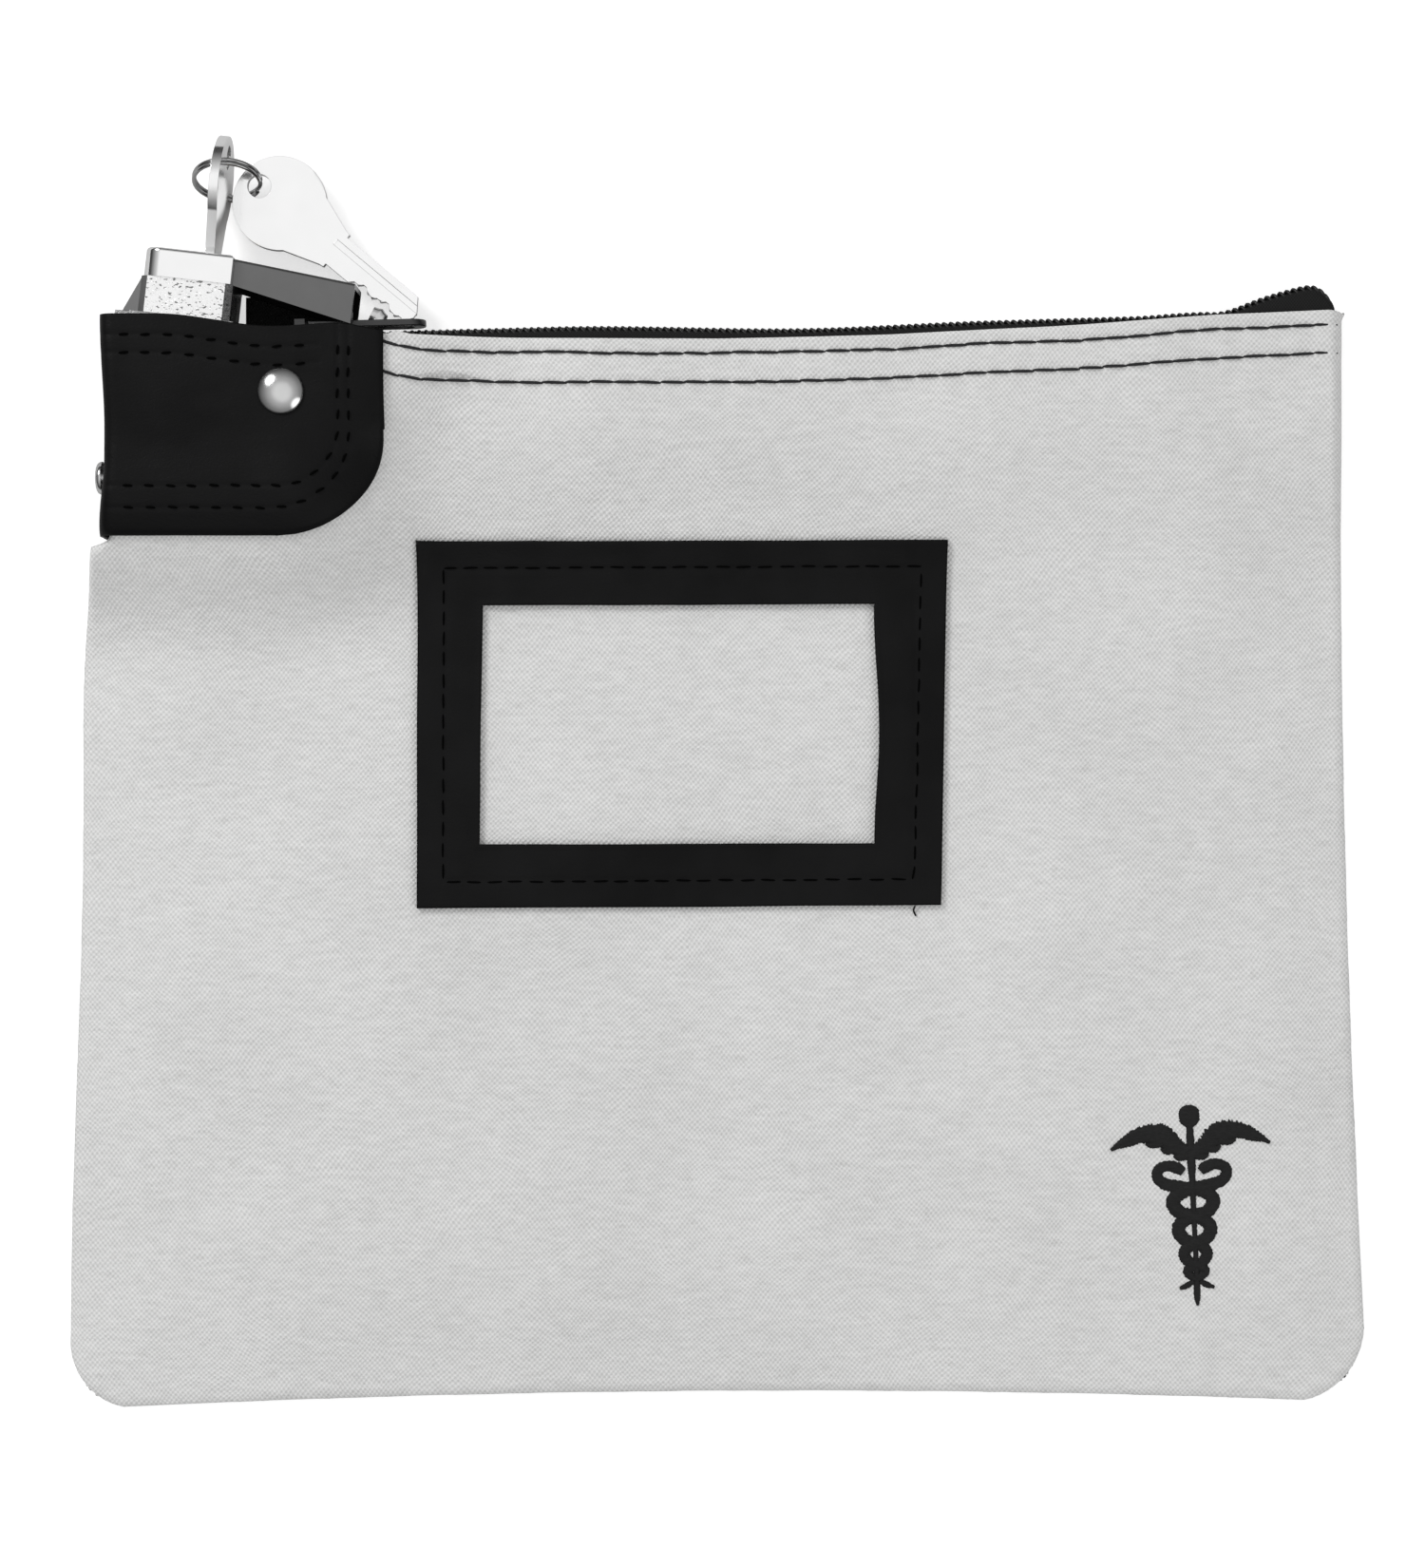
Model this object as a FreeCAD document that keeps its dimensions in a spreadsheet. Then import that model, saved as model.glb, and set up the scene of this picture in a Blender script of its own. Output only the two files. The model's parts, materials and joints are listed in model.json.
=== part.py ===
"""Cash deposit bag with a pop-up lock, lying on its back.

Frame: +Z up from the surface that the bag lies on, +Y towards the zipped mouth, +X to the right.
The origin is the middle of the back panel's flat face. All lengths are in millimetres.
"""
import FreeCAD, Part
import Sketcher
import math
import os

from FreeCAD import Placement, Rotation, Vector

doc = FreeCAD.newDocument("DepositBag")
sheet = doc.addObject("Spreadsheet::Sheet", "Sizes")

SIZES = {
    # the bag
    "left_reach": 154.6, "right_reach": 154.2, "foot_reach": 127.0, "mouth_reach": 126.4,
    "corner_reach": 143.2, "mouth_right": 148.6, "waist": 4.4, "foot_round": 14.0,
    "hem_low": 123.0, "hem_high": 129.8,
    "cloth": 0.9, "crown": 6.4, "seam_height": 2.4, "rim_width": 34.0, "ply_gap": 0.25,
    # the vinyl pieces
    "vinyl": 1.1, "cover_right": 77.6, "cover_low": 76.0, "cover_round": 25.0,
    "label_width": 124.8, "label_height": 86.6, "label_x": -8.9, "label_y": 32.4,
    "window_width": 93.3, "window_height": 56.8, "window_x": -9.6,
    # the lock's place and slide
    "lock_x": -124.6, "lock_y": 127.0, "lock_tilt": 6.5, "rivet_head": 1.5,
    "barrel_width": 21.4, "barrel_depth": 18.0, "barrel_foot": 14.0, "head_rise": 8.6, "press": 6.5,
    "slide_gap": 0.15, "housing_wall": 1.25, "housing_length": 42.6, "flare": 3.8, "flare_foot": 7.0,
    # the head
    "cap_width": 20.8, "cap_height": 6.8, "cap_depth": 19.6, "cap_wall": 1.4, "cap_round": 4.0,
    "hood_reach": 38.8, "hood_width": 14.4, "hood_wall": 1.2, "hood_drop": 2.8, "hood_end": 9.2,
    "hood_root": 6.1, "tooth": 1.8,
    # the plug, its pins and the bolt
    "plug_radius": 6.0, "plug_offset": 4.0, "turn_gap": 0.05, "pin_radius": 0.85, "pin_pitch": 2.2,
    "pin_first": 8.4, "driver_length": 3.0, "chamber_depth": 7.6, "bolt_thick": 2.0,
    "bolt_width": 8.0, "bolt_throw": 1.1, "foot_plate": 2.0, "clip_thick": 0.8,
    "spring_radius": 5.0, "spring_wire": 0.5, "floor_thick": 2.0,
    # the keys and the ring
    "bow_radius": 11.2, "key_thick": 2.2, "blade_width": 8.0, "blade_length": 24.2,
    "neck_length": 17.6, "key_hole": 2.8, "hole_offset": 6.3, "ring_radius": 7.8, "ring_wire": 0.5,
    # the rivets
    "rivet_x": -101.2, "rivet_y": 109.2, "rivet_radius": 5.3, "shank_radius": 1.9,
    "side_rivet_y": 90.2, "side_rivet_radius": 3.9, "boss_radius": 4.6,
    # the zipper
    "zip_x": -95.6, "zip_y": 121.7, "zip_z": 14.2, "zip_yaw": 1.77, "zip_pitch": 2.15,
    "zip_length": 243.0, "chain_height": 2.5, "chain_depth": 5.2, "tape": 0.6, "tape_reach": 14.0,
    "slider_length": 14.0, "slider_depth": 10.4, "slider_wall": 1.1, "slider_gap": 0.3,
    "tab_length": 30.0, "tab_width": 7.8, "tab_thick": 1.5, "bail_radius": 0.8, "bump": 5.4,
}
for row, (name, value) in enumerate(SIZES.items(), start=1):
    sheet.set(f"A{row}", name)
    sheet.set(f"B{row}", str(value))
    sheet.setAlias(f"B{row}", name)
doc.recompute()


def size(name):
    """A driving dimension, read from the sheet."""
    return float(sheet.get(name))


def v(x, y, z=0.0):
    return Vector(x, y, z)


UP = v(0, 0, 1)
# The lock's own frame: its origin is the middle of the housing's mouth, +Y is the way the head pops up.
housing_depth = size("barrel_depth") + 2 * (size("slide_gap") + size("housing_wall"))
corner_lift = size("rivet_head") + size("vinyl") + 0.1
lock_z = corner_lift + size("cloth") + 0.2 + housing_depth / 2
sheet.set("A200", "lock_z")
sheet.set("B200", "=rivet_head + vinyl + 0.3 + cloth + barrel_depth / 2 + slide_gap + housing_wall")
sheet.setAlias("B200", "lock_z")
doc.recompute()
LOCK = Placement(v(size("lock_x"), size("lock_y"), lock_z), Rotation(-size("lock_tilt"), 0, 0))
LOCK_EXPRESSION = ("create(<<placement>>; create(<<vector>>; Sizes.lock_x; Sizes.lock_y; Sizes.lock_z);"
                   " create(<<rotation>>; -Sizes.lock_tilt; 0; 0))")
# The zipper's own frame: its origin is the middle of the slider at rest, +X runs along the chain.
ZIP = Placement(v(size("zip_x"), size("zip_y"), size("zip_z")),
                Rotation(size("zip_yaw"), size("zip_pitch"), 0))
ZIP_EXPRESSION = ("create(<<placement>>; create(<<vector>>; Sizes.zip_x; Sizes.zip_y; Sizes.zip_z);"
                  " create(<<rotation>>; Sizes.zip_yaw; Sizes.zip_pitch; 0))")
nodes = []


def feature(name, shape, placement=None):
    """A sub-part whose shape comes from Part's own functions."""
    item = doc.addObject("Part::Feature", name)
    item.Label = name
    item.Shape = shape
    if placement is not None:
        item.Placement = placement
    nodes.append(item)
    return item


def bound(kind, name, at=None, **sizes):
    """A Part primitive whose sizes, and whose place at, are expressions on the sheet's aliases."""
    item = doc.addObject("Part::" + kind, name)
    for key, expression in sizes.items():
        item.setExpression(key, expression)
    for axis, expression in zip("xyz", at or ()):
        item.setExpression("Placement.Base." + axis, expression)
    return item


def box(name, x, y, z, at):
    """A box with x, y and z sides, whose lowest corner is at."""
    return bound("Box", name, at, Length=x, Width=y, Height=z)


def rod(name, radius, length, at, axis):
    """A cylinder from at along +axis, which is a letter with an optional minus sign."""
    item = bound("Cylinder", name, at, Radius=radius, Height=length)
    turns = {"x": Rotation(v(0, 1, 0), 90), "-x": Rotation(v(0, 1, 0), -90),
             "y": Rotation(v(1, 0, 0), -90), "-y": Rotation(v(1, 0, 0), 90), "z": Rotation()}
    item.Placement.Rotation = turns[axis]
    return item


def fuse(name, *items):
    joined = doc.addObject("Part::MultiFuse", name)
    joined.Shapes = list(items)
    joined.Refine = True
    return joined


def cut(name, base, *tools):
    tool = tools[0] if len(tools) == 1 else fuse(name + "_tools", *tools)
    item = doc.addObject("Part::Cut", name)
    item.Base = base
    item.Tool = tool
    return item


def node(name, frame, *items):
    """A sub-part: a group of solids, placed as one, whose Label names its file."""
    group = doc.addObject("Part::Compound", name)
    group.Label = name
    group.Links = list(items)
    if frame is not None:
        group.setExpression("Placement", frame)
    nodes.append(group)
    return group


def smooth(share):
    """0 below 0, 1 above 1, and a soft step between."""
    share = max(0.0, min(1.0, share))
    return share * share * (3 - 2 * share)


# ---------------------------------------------------------------- the bag's cloth

# How far below the cover the cloth's fold ends, and a height and a width beyond the bag's for cutting tools.
FOLD_RUN = 1.4
TALL = 60
WIDE = 300

def left_edge(y):
    """The left edge: inwards at the lock, where the housing's depth takes up cloth, and folded out below."""
    below = max(0.0, size("cover_low") - y)
    fold = min(1.0, below / FOLD_RUN)
    slack = fold * (1 - 0.48 * (1 - min(1.0, below / 40)) ** 2)
    foot = smooth((10 - y) / 120)
    return -size("corner_reach") - (size("left_reach") - size("waist") - size("corner_reach") + 1.4) * slack \
        - (size("waist") - 1.4) * foot


def right_edge(y):
    foot = max(0.0, min(1.0, (90 - y) / 200)) ** 2
    return size("mouth_right") + (size("right_reach") - size("mouth_right")) * foot


def hem(x):
    """The mouth's edge: level beside the lock and rising to the right, and higher over the housing."""
    rise = smooth((x + 5) / (size("mouth_right") + 40))
    over_lock = smooth((x - 4 + size("cover_right")) / -12)
    return size("hem_low") + (size("hem_high") - size("hem_low")) * rise \
        + (size("mouth_reach") - size("hem_low")) * over_lock


def zip_height(x):
    """Height of the chain's middle above the rest surface."""
    return size("zip_z") - (x - size("zip_x")) * math.tan(math.radians(size("zip_pitch")))


def curve_through(points):
    curve = Part.BSplineCurve()
    curve.interpolate(points)
    return curve.toShape()


def outline(inset=0.0, past_mouth=0.0):
    """The bag's outline as a closed wire, moved inwards by inset at the seams."""
    foot = -size("foot_reach") + inset
    turn = size("foot_round") - inset
    low = foot - 2.6
    top = size("mouth_reach") + past_mouth
    low_corner = size("cover_low")
    stations = (low_corner, low_corner - FOLD_RUN, low_corner - 6, low_corner - 14, low_corner - 26, 36,
                10, -40, -90)
    left = [v(left_edge(y) + inset, y - inset) for y in stations]
    left.append(v(left_edge(foot + turn) + inset, foot + turn))
    top_left = v(left[0].x, top)
    right_top = hem(size("mouth_right")) + past_mouth
    right = [v(right_edge(y) - inset, y) for y in (foot + turn + 2, -70, -30, 10, 50, 90, right_top)]
    heel = v(left[-1].x + turn * 0.9, low - 1.0 + 0.3)
    toe = v(right[0].x - turn, low + 1.0)
    between = [] if past_mouth else [v(x, hem(x)) for x in (120, 80, 40, 0, -40, -72, -82, -92)]
    mouth = [right[-1]] + between + [top_left, left[0]]
    corner_left = left[-1] + v(turn * 0.16, -turn * 0.72)
    corner_right = right[0] + v(-turn * 0.24, -turn * 0.74)
    edges = [Part.makeLine(left[0], left[1]),
             curve_through(left[1:]),
             Part.Arc(left[-1], corner_left, heel).toShape(),
             Part.Arc(heel, v(0, foot + 0.6), toe).toShape(),
             Part.Arc(toe, corner_right, right[0]).toShape(),
             curve_through(right)]
    edges += [Part.makeLine(a, b) for a, b in zip(mouth, mouth[1:])]
    return Part.Wire(edges)


def prism(wire, low, high):
    face = Part.Face(wire)
    face.translate(v(0, 0, low))
    return face.extrude(v(0, 0, high - low))


corner_top = lock_z + housing_depth / 2 + 0.2 + size("cloth")


def front_height(x, y):
    """Height of the front cloth's outer side above the rest surface."""
    side = min(x - left_edge(y), right_edge(y) - x) / size("rim_width")
    foot = (y + size("foot_reach")) / size("rim_width")
    edge = math.sin(math.pi / 2 * max(0.0, min(1.0, side))) * math.sin(math.pi / 2 * max(0.0,
                                                                                         min(1.0, foot)))
    height = size("seam_height") + (size("crown") - size("seam_height")) * edge
    over_zip = zip_height(x) + size("chain_depth") / 2 + size("tape") + size("ply_gap") + size("cloth")
    ridge = smooth((y - 62) / 46)
    height += (over_zip - height) * ridge
    edge = -97 + 14 * smooth((y - 98) / 16)
    lump = smooth((edge + 34 - x) / 34) * smooth((y - size("cover_low") + 28) / 36)
    return height + (corner_top - height) * lump


def under_cloth(rise):
    """Everything under the front cloth's outer side, raised by rise."""
    step = 12
    grid = [[v(x, y, front_height(x, y) + rise) for y in range(-156, 157, step)]
            for x in range(-168, 169, step)]
    surface = Part.BSplineSurface()
    surface.interpolate(grid)
    return surface.toShape().extrude(v(0, 0, -TALL))


def over(footprint, low, tops):
    """A solid over a polygon of four points, from the height low to each corner's own height in tops."""
    base = [v(p[0], p[1], low) for p in footprint]
    roof = [v(p[0], p[1], top) for p, top in zip(footprint, tops)]
    faces = [Part.Face(Part.makePolygon(ring + ring[:1])) for ring in (base, roof)]
    for i in range(4):
        j = (i + 1) % 4
        faces.append(Part.Face(Part.makePolygon([base[i], base[j], roof[j], roof[i], base[i]])))
    return Part.Solid(Part.Shell(faces))


# The back cloth is flat, lifted over the cover's back flap, and rises along the mouth to the zipper.
lift_x, lift_y = 2.6 - size("cover_right"), size("cover_low") - 2.4
rise_run, far = 18.0, 40


def zip_line(x):
    return size("zip_y") + (x - size("zip_x")) * math.tan(math.radians(size("zip_yaw")))


def back_rise(thick):
    """The rise to the zipper: a solid under one sloping plane, thick above its underside."""
    tape_low = size("chain_depth") / 2 + size("tape") + size("cloth") + 0.15
    top, end = (v(x, zip_line(x) + size("tape"), zip_height(x) - tape_low) for x in (lift_x, 160))
    a = v(top.x, top.y - rise_run, 0)
    normal = (end - top).cross(a - top).normalize()
    b = v(end.x, end.y + normal.z * end.z / normal.y, 0)

    def plane(x, y):
        return -(normal.x * (x - a.x) + normal.y * (y - a.y)) / normal.z + thick

    footprint = [(a.x, a.y), (b.x, b.y), (b.x, b.y + far), (a.x, a.y + far)]
    return over(footprint, -1, [plane(*p) for p in footprint])


def back_lift(thick):
    """The lifted corner: a solid thick above the underside of the lifted cloth."""
    right, low = lift_x - size("cloth") + thick, lift_y + size("cloth") - thick
    return Part.makeBox(right + 200, 200 - low, corner_lift + thick + 1, v(-200, low, -1))


def shank_hole():
    return Part.makeCylinder(size("shank_radius") + 0.05, TALL, v(size("rivet_x"), size("rivet_y"), -1))


def side_hole():
    place = v(-size("corner_reach") - 12, size("side_rivet_y"), lock_z)
    return Part.makeCylinder(size("shank_radius") + 0.05, 18, place, v(1, 0, 0))


def back_cloth():
    cloth = size("cloth")
    top = prism(outline(), 0, cloth).fuse([back_lift(cloth), back_rise(cloth)])
    under = back_lift(0).fuse(back_rise(0))
    shape = top.common(prism(outline(), 0, TALL)).cut(under).cut(shank_hole())
    return max(shape.Solids, key=lambda s: s.Volume)


def front_cloth():
    """The front cloth: crowned over the bag's space, upright beside the lock, sewn to the back at its rim."""
    cloth = size("cloth")
    outer = under_cloth(0).common(prism(outline(), cloth, TALL))
    inner = under_cloth(-cloth).common(prism(outline(cloth, 30), 0, TALL))
    shape = outer.cut(inner).cut(back_lift(cloth)).cut(back_rise(cloth)).cut([shank_hole(), side_hole()])
    return max(shape.Solids, key=lambda s: s.Volume)


feature("canvas_back_panel", back_cloth())
feature("canvas_front_panel", front_cloth())


# ---------------------------------------------------------------- the vinyl pieces

def cover_outline(left, right, top):
    """A flap of the corner cover: square at the left and at the mouth, rounded at its free corner."""
    low, turn = size("cover_low"), size("cover_round")
    bend = turn * (1 - math.sqrt(0.5))
    edges = [
        Part.makeLine(v(left, top), v(left, low)),
        Part.makeLine(v(left, low), v(right - turn, low)),
        Part.Arc(v(right - turn, low), v(right - bend, low + bend), v(right, low + turn)).toShape(),
        Part.makeLine(v(right, low + turn), v(right, top)),
        Part.makeLine(v(right, top), v(left, top)),
    ]
    return Part.Wire(edges)


def corner_cover():
    """One piece of vinyl, folded round the corner's left edge: a front flap, a side wall and a back flap."""
    thick, gap, top = size("vinyl"), size("ply_gap"), size("mouth_reach")
    wall = -size("corner_reach") - gap - thick
    right = -size("cover_right")
    front = under_cloth(gap + thick).common(prism(cover_outline(wall, right, top), size("rivet_head"),
                                                  TALL))
    hollow = under_cloth(gap).common(prism(cover_outline(wall + thick, right + 9, top + 9), 0, TALL))
    front = front.cut(hollow.fuse(Part.makeBox(WIDE, TALL, TALL,
                                               v(wall + thick, size("cover_low") - 5,
                                                 size("rivet_head") - TALL + 16.5))))
    back = prism(cover_outline(wall + thick, right, top), size("rivet_head"), size("rivet_head") + thick)
    return front.fuse(back).cut([shank_hole(), side_hole()])


def rectangle(width, height, x, y):
    corners = [v(x - width / 2, y - height / 2), v(x + width / 2, y - height / 2),
               v(x + width / 2, y + height / 2), v(x - width / 2, y + height / 2)]
    return Part.makePolygon(corners + corners[:1])


def label_frame():
    """A flat frame of vinyl that lies on the cloth, with a window for a card."""
    frame = prism(rectangle(size("label_width"), size("label_height"), size("label_x"), size("label_y")),
                  0, TALL)
    window = rectangle(size("window_width"), size("window_height"), size("window_x"), size("label_y"))
    gap = size("ply_gap")
    shape = under_cloth(gap + size("vinyl")).common(frame)
    return shape.cut(under_cloth(gap)).cut(prism(window, -1, TALL + 1))


feature("vinyl_corner_cover", corner_cover())
feature("label_frame", label_frame())


# ---------------------------------------------------------------- the lock, in its own frame

HALF = "Sizes.barrel_width / 2"
DEEP = "Sizes.barrel_depth / 2"
BOLT_LOW = "-Sizes.barrel_foot - Sizes.bolt_thick - 0.4"
CAP_LOW = "Sizes.head_rise"
CAP_TOP = "Sizes.head_rise + Sizes.cap_height"
PLUG_X = "Sizes.plug_offset"
STOP_Y = -12.0
pin_places = [size("head_rise") + size("cap_height") - size("pin_first") - i * size("pin_pitch")
              for i in range(7)]
cuts = [1.1, 1.9, 0.9, 1.5, 2.2, 1.2, 1.6]


def slab(name, x, y, z):
    """A box between two expressions in each of x and y, and symmetrical about z = 0 with half depth z."""
    return box(name, f"({x[1]}) - ({x[0]})", f"({y[1]}) - ({y[0]})", f"2 * ({z})", (x[0], y[0], f"-({z})"))


def bevel(name, base, radius, picks, kind="Fillet"):
    """Round or chamfer the edges of base that picks chooses by their middle and direction."""
    doc.recompute()
    item = doc.addObject("Part::" + kind, name)
    item.Base = base
    chosen = []
    for index, edge in enumerate(base.Shape.Edges, start=1):
        a, b = edge.Vertexes[0].Point, edge.Vertexes[-1].Point
        if picks((a + b) * 0.5, b - a):
            chosen.append((index, radius, radius))
    item.Edges = chosen
    return item


def pad(name, points, half, plane="XY"):
    """A PartDesign body: a polygon of the lock's or zipper's XY plane, half deep to each side."""
    body = doc.addObject("PartDesign::Body", name)
    sketch = body.newObject("Sketcher::SketchObject", name + "_outline")
    origin_plane = [p for p in body.Origin.OriginFeatures if p.Role == plane + "_Plane"][0]
    sketch.AttachmentSupport = [(origin_plane, "")]
    sketch.MapMode = "FlatFace"
    corners = [v(*p) for p in points]
    for a, b in zip(corners, corners[1:] + corners[:1]):
        sketch.addGeometry(Part.LineSegment(a, b))
    solid = body.newObject("PartDesign::Pad", name + "_pad")
    solid.Profile = sketch
    solid.setExpression("Length", f"2 * ({half})")
    solid.Midplane = True
    return body


def housing():
    """A casting with the barrel's slideway, a lobe for its flare and a boss for the front rivet."""
    wall, gap = "Sizes.housing_wall", "Sizes.slide_gap"
    deep = f"{DEEP} + {gap} + {wall}"
    side = f"{HALF} + {gap} + {wall}"
    lobe_low = "-Sizes.flare_foot - Sizes.press - 0.4"
    boss = LOCK.inverse().multVec(v(size("rivet_x"), size("rivet_y"), lock_z))
    outer = slab("housing_body", (f"-({side})", side), ("-Sizes.housing_length", "0"), deep)
    lobe = slab("housing_lobe", (f"-({side}) - Sizes.flare", "0"), (f"{lobe_low} - {wall}", "0"),
                "6.5 + Sizes.slide_gap + Sizes.housing_wall")
    tower = rod("housing_boss", "Sizes.boss_radius", f"2 * ({deep})",
                (str(boss.x), str(boss.y), f"-({deep})"), "z")
    web = slab("housing_web", (f"{HALF} + 0.8", str(boss.x - 2.5)), (str(boss.y - 2), str(boss.y + 2)), "3")
    bore = rod("housing_boss_bore", "Sizes.shank_radius + 0.05", f"2 * ({deep}) + 2",
               (str(boss.x), str(boss.y), f"-({deep}) - 1"), "z")
    slide = slab("housing_slideway", (f"-({HALF} + {gap})", f"{HALF} + {gap}"),
                 ("-Sizes.housing_length - 1", "1"), f"{DEEP} + {gap}")
    slide_lobe = slab("housing_lobe_way", (f"-({HALF} + Sizes.flare + {gap})", "0"), (lobe_low, "1"),
                      f"6.5 + {gap}")
    tools = [bore, slide, slide_lobe]
    for i, drop in enumerate(("0", "Sizes.press")):
        tools.append(slab(f"housing_bolt_slot_{i}", (HALF, f"{HALF} + {gap} + {wall} - 0.15"),
                          (f"{BOLT_LOW} - 0.1 - {drop}", f"-Sizes.barrel_foot + 0.1 - {drop}"),
                          "Sizes.bolt_width / 2 + 0.2"))
    for side_name, sign in (("front", 1), ("back", -1)):
        tools.append(rod(f"housing_stop_hole_{side_name}", "1", f"{deep} - 7",
                         ("-7", str(STOP_Y), "7" if sign > 0 else f"-({deep})"), "z"))
    hole = LOCK.inverse().multVec(v(-size("corner_reach") - 6, size("side_rivet_y"), lock_z))
    side_bore = rod("housing_side_bore", "Sizes.shank_radius + 0.05", "14",
                    (str(hole.x), str(hole.y), "0"), "x")
    side_bore.Placement.Rotation = Rotation(size("lock_tilt"), 0, 0).multiply(Rotation(v(0, 1, 0), 90))
    tools.append(side_bore)
    return cut("housing_cut", fuse("housing_solid", outer, lobe, tower, web), *tools)


def barrel():
    """The sliding barrel: a cast block with a neck, a flare, the plug's bore and the pin chambers."""
    block = slab("barrel_block", (f"-{HALF}", HALF), (BOLT_LOW, CAP_LOW), DEEP)
    block = bevel("barrel_bevel", block, 1.6, lambda middle, way: abs(way.y) > 1, "Chamfer")
    neck = slab("barrel_neck", ("-Sizes.cap_width / 2 + Sizes.cap_wall",
                                "Sizes.cap_width / 2 - Sizes.cap_wall"),
                (CAP_LOW, f"{CAP_TOP} - Sizes.cap_wall"), "Sizes.cap_depth / 2 - Sizes.cap_wall")
    lobe = slab("barrel_lobe", (f"-{HALF} - Sizes.flare", "0"), ("-Sizes.flare_foot", "0"), "6.5")
    flare = bound("Wedge", "barrel_flare", Xmin=f"-{HALF} - Sizes.flare", Xmax="0", X2min=f"-{HALF}",
                  X2max="0",
                  Ymin="0", Ymax=CAP_LOW, Zmin="-6.5", Zmax="6.5", Z2min="-6.5", Z2max="6.5")
    reach_down = "Sizes.barrel_foot + Sizes.head_rise + Sizes.cap_height + 8"
    bore = rod("barrel_bore", "Sizes.plug_radius + Sizes.turn_gap", reach_down,
               (PLUG_X, f"{CAP_TOP} + 2", "0"), "-y")
    clip_seat = rod("barrel_clip_seat", "Sizes.plug_radius + 0.45", "1.0 + 0.01",
                    (PLUG_X, "-Sizes.barrel_foot + 1", "0"), "-y")
    pocket = slab("barrel_bolt_pocket", (f"-{HALF} + 2.5", f"{HALF} + 1"),
                  (f"{BOLT_LOW} - 1", "-Sizes.barrel_foot"),
                  "Sizes.bolt_width / 2 + 0.2")
    tools = [bore, clip_seat, pocket]
    for i, place in enumerate(pin_places):
        tools.append(rod(f"barrel_chamber_{i}", "Sizes.pin_radius + 0.03", "Sizes.chamber_depth + 1",
                         (f"{PLUG_X} - Sizes.plug_radius + 1", str(place), "0"), "-x"))
    for side_name, low in (("front", f"{DEEP} - 1.4"), ("back", f"-{DEEP} - 1")):
        tools.append(box(f"barrel_stop_groove_{side_name}", "2.3", "Sizes.press + 2.3", "2.4",
                         ("-8.15", str(STOP_Y - 1.15), low)))
    for sign in (-1, 1):
        tools.append(rod(f"barrel_screw_hole_{sign + 1}", "1", "7",
                         ("-9.2", f"{BOLT_LOW} - 1", str(6.2 * sign)), "y"))
    return cut("barrel_cut", fuse("barrel_solid", block, neck, lobe, flare), *tools)


def head_cap():
    """The polished cap and its hood, a channel over the slider with teeth that stop it when pressed."""
    half, deep = "Sizes.cap_width / 2", "Sizes.cap_depth / 2"
    block = slab("cap_block", (f"-{half}", half), (CAP_LOW, CAP_TOP), deep)
    left_round = size("cap_round")
    block = bevel("cap_left_round", block, left_round, lambda middle, way: abs(way.y) > 1 and middle.x < 0)
    block = bevel("cap_top_round", block, 0.9, lambda middle,
                  way: middle.y > size("head_rise") + size("cap_height") - 0.1)
    top, root = size("head_rise") + size("cap_height") - 0.4, size("cap_width") / 2 - 0.9
    reach = size("hood_reach")
    roof, drop, wall = top, size("hood_drop"), size("hood_wall")
    outer = pad("hood_channel", [(root, roof), (reach, roof - drop + 0.2),
                                 (reach, roof - drop - size("hood_end")),
                                 (root, roof - size("hood_root"))], "Sizes.hood_width / 2")
    outer = bevel("hood_round", outer, 0.8, lambda middle, way: abs(way.x) > 5 and middle.y > 10)
    slope = (drop - 0.2) / (reach - root)
    inner = pad("hood_space", [(root + 2.2, roof - wall - 2 * slope),
                               (reach + 9, roof - wall - slope * (reach + 9 - root)),
                               (reach + 9, -8), (root + 2.2, -8)], "Sizes.hood_width / 2 - Sizes.hood_wall")
    tooth_low, tooth_in = roof - drop - size("hood_end") + 0.2, size("hood_width") / 2 - wall
    teeth = [box(f"hood_tooth_{i}", "Sizes.tooth", "2.7", "1.6",
                 (str(reach - size("tooth")), str(tooth_low),
                  str(tooth_in - 1.5 if i else -tooth_in - 0.1))) for i in (0, 1)]
    hollow = slab("cap_hollow", (f"-{half} + Sizes.cap_wall", f"{half} - Sizes.cap_wall"),
                  (f"{CAP_LOW} - 1", f"{CAP_TOP} - Sizes.cap_wall"), f"{deep} - Sizes.cap_wall")
    hole = rod("cap_plug_hole", "Sizes.plug_radius + Sizes.turn_gap", "Sizes.cap_height + 4",
               (PLUG_X, f"{CAP_TOP} + 1", "0"), "-y")
    return cut("cap_cut", fuse("cap_solid", block, cut("hood_open", outer, inner), *teeth), hollow, hole)


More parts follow.
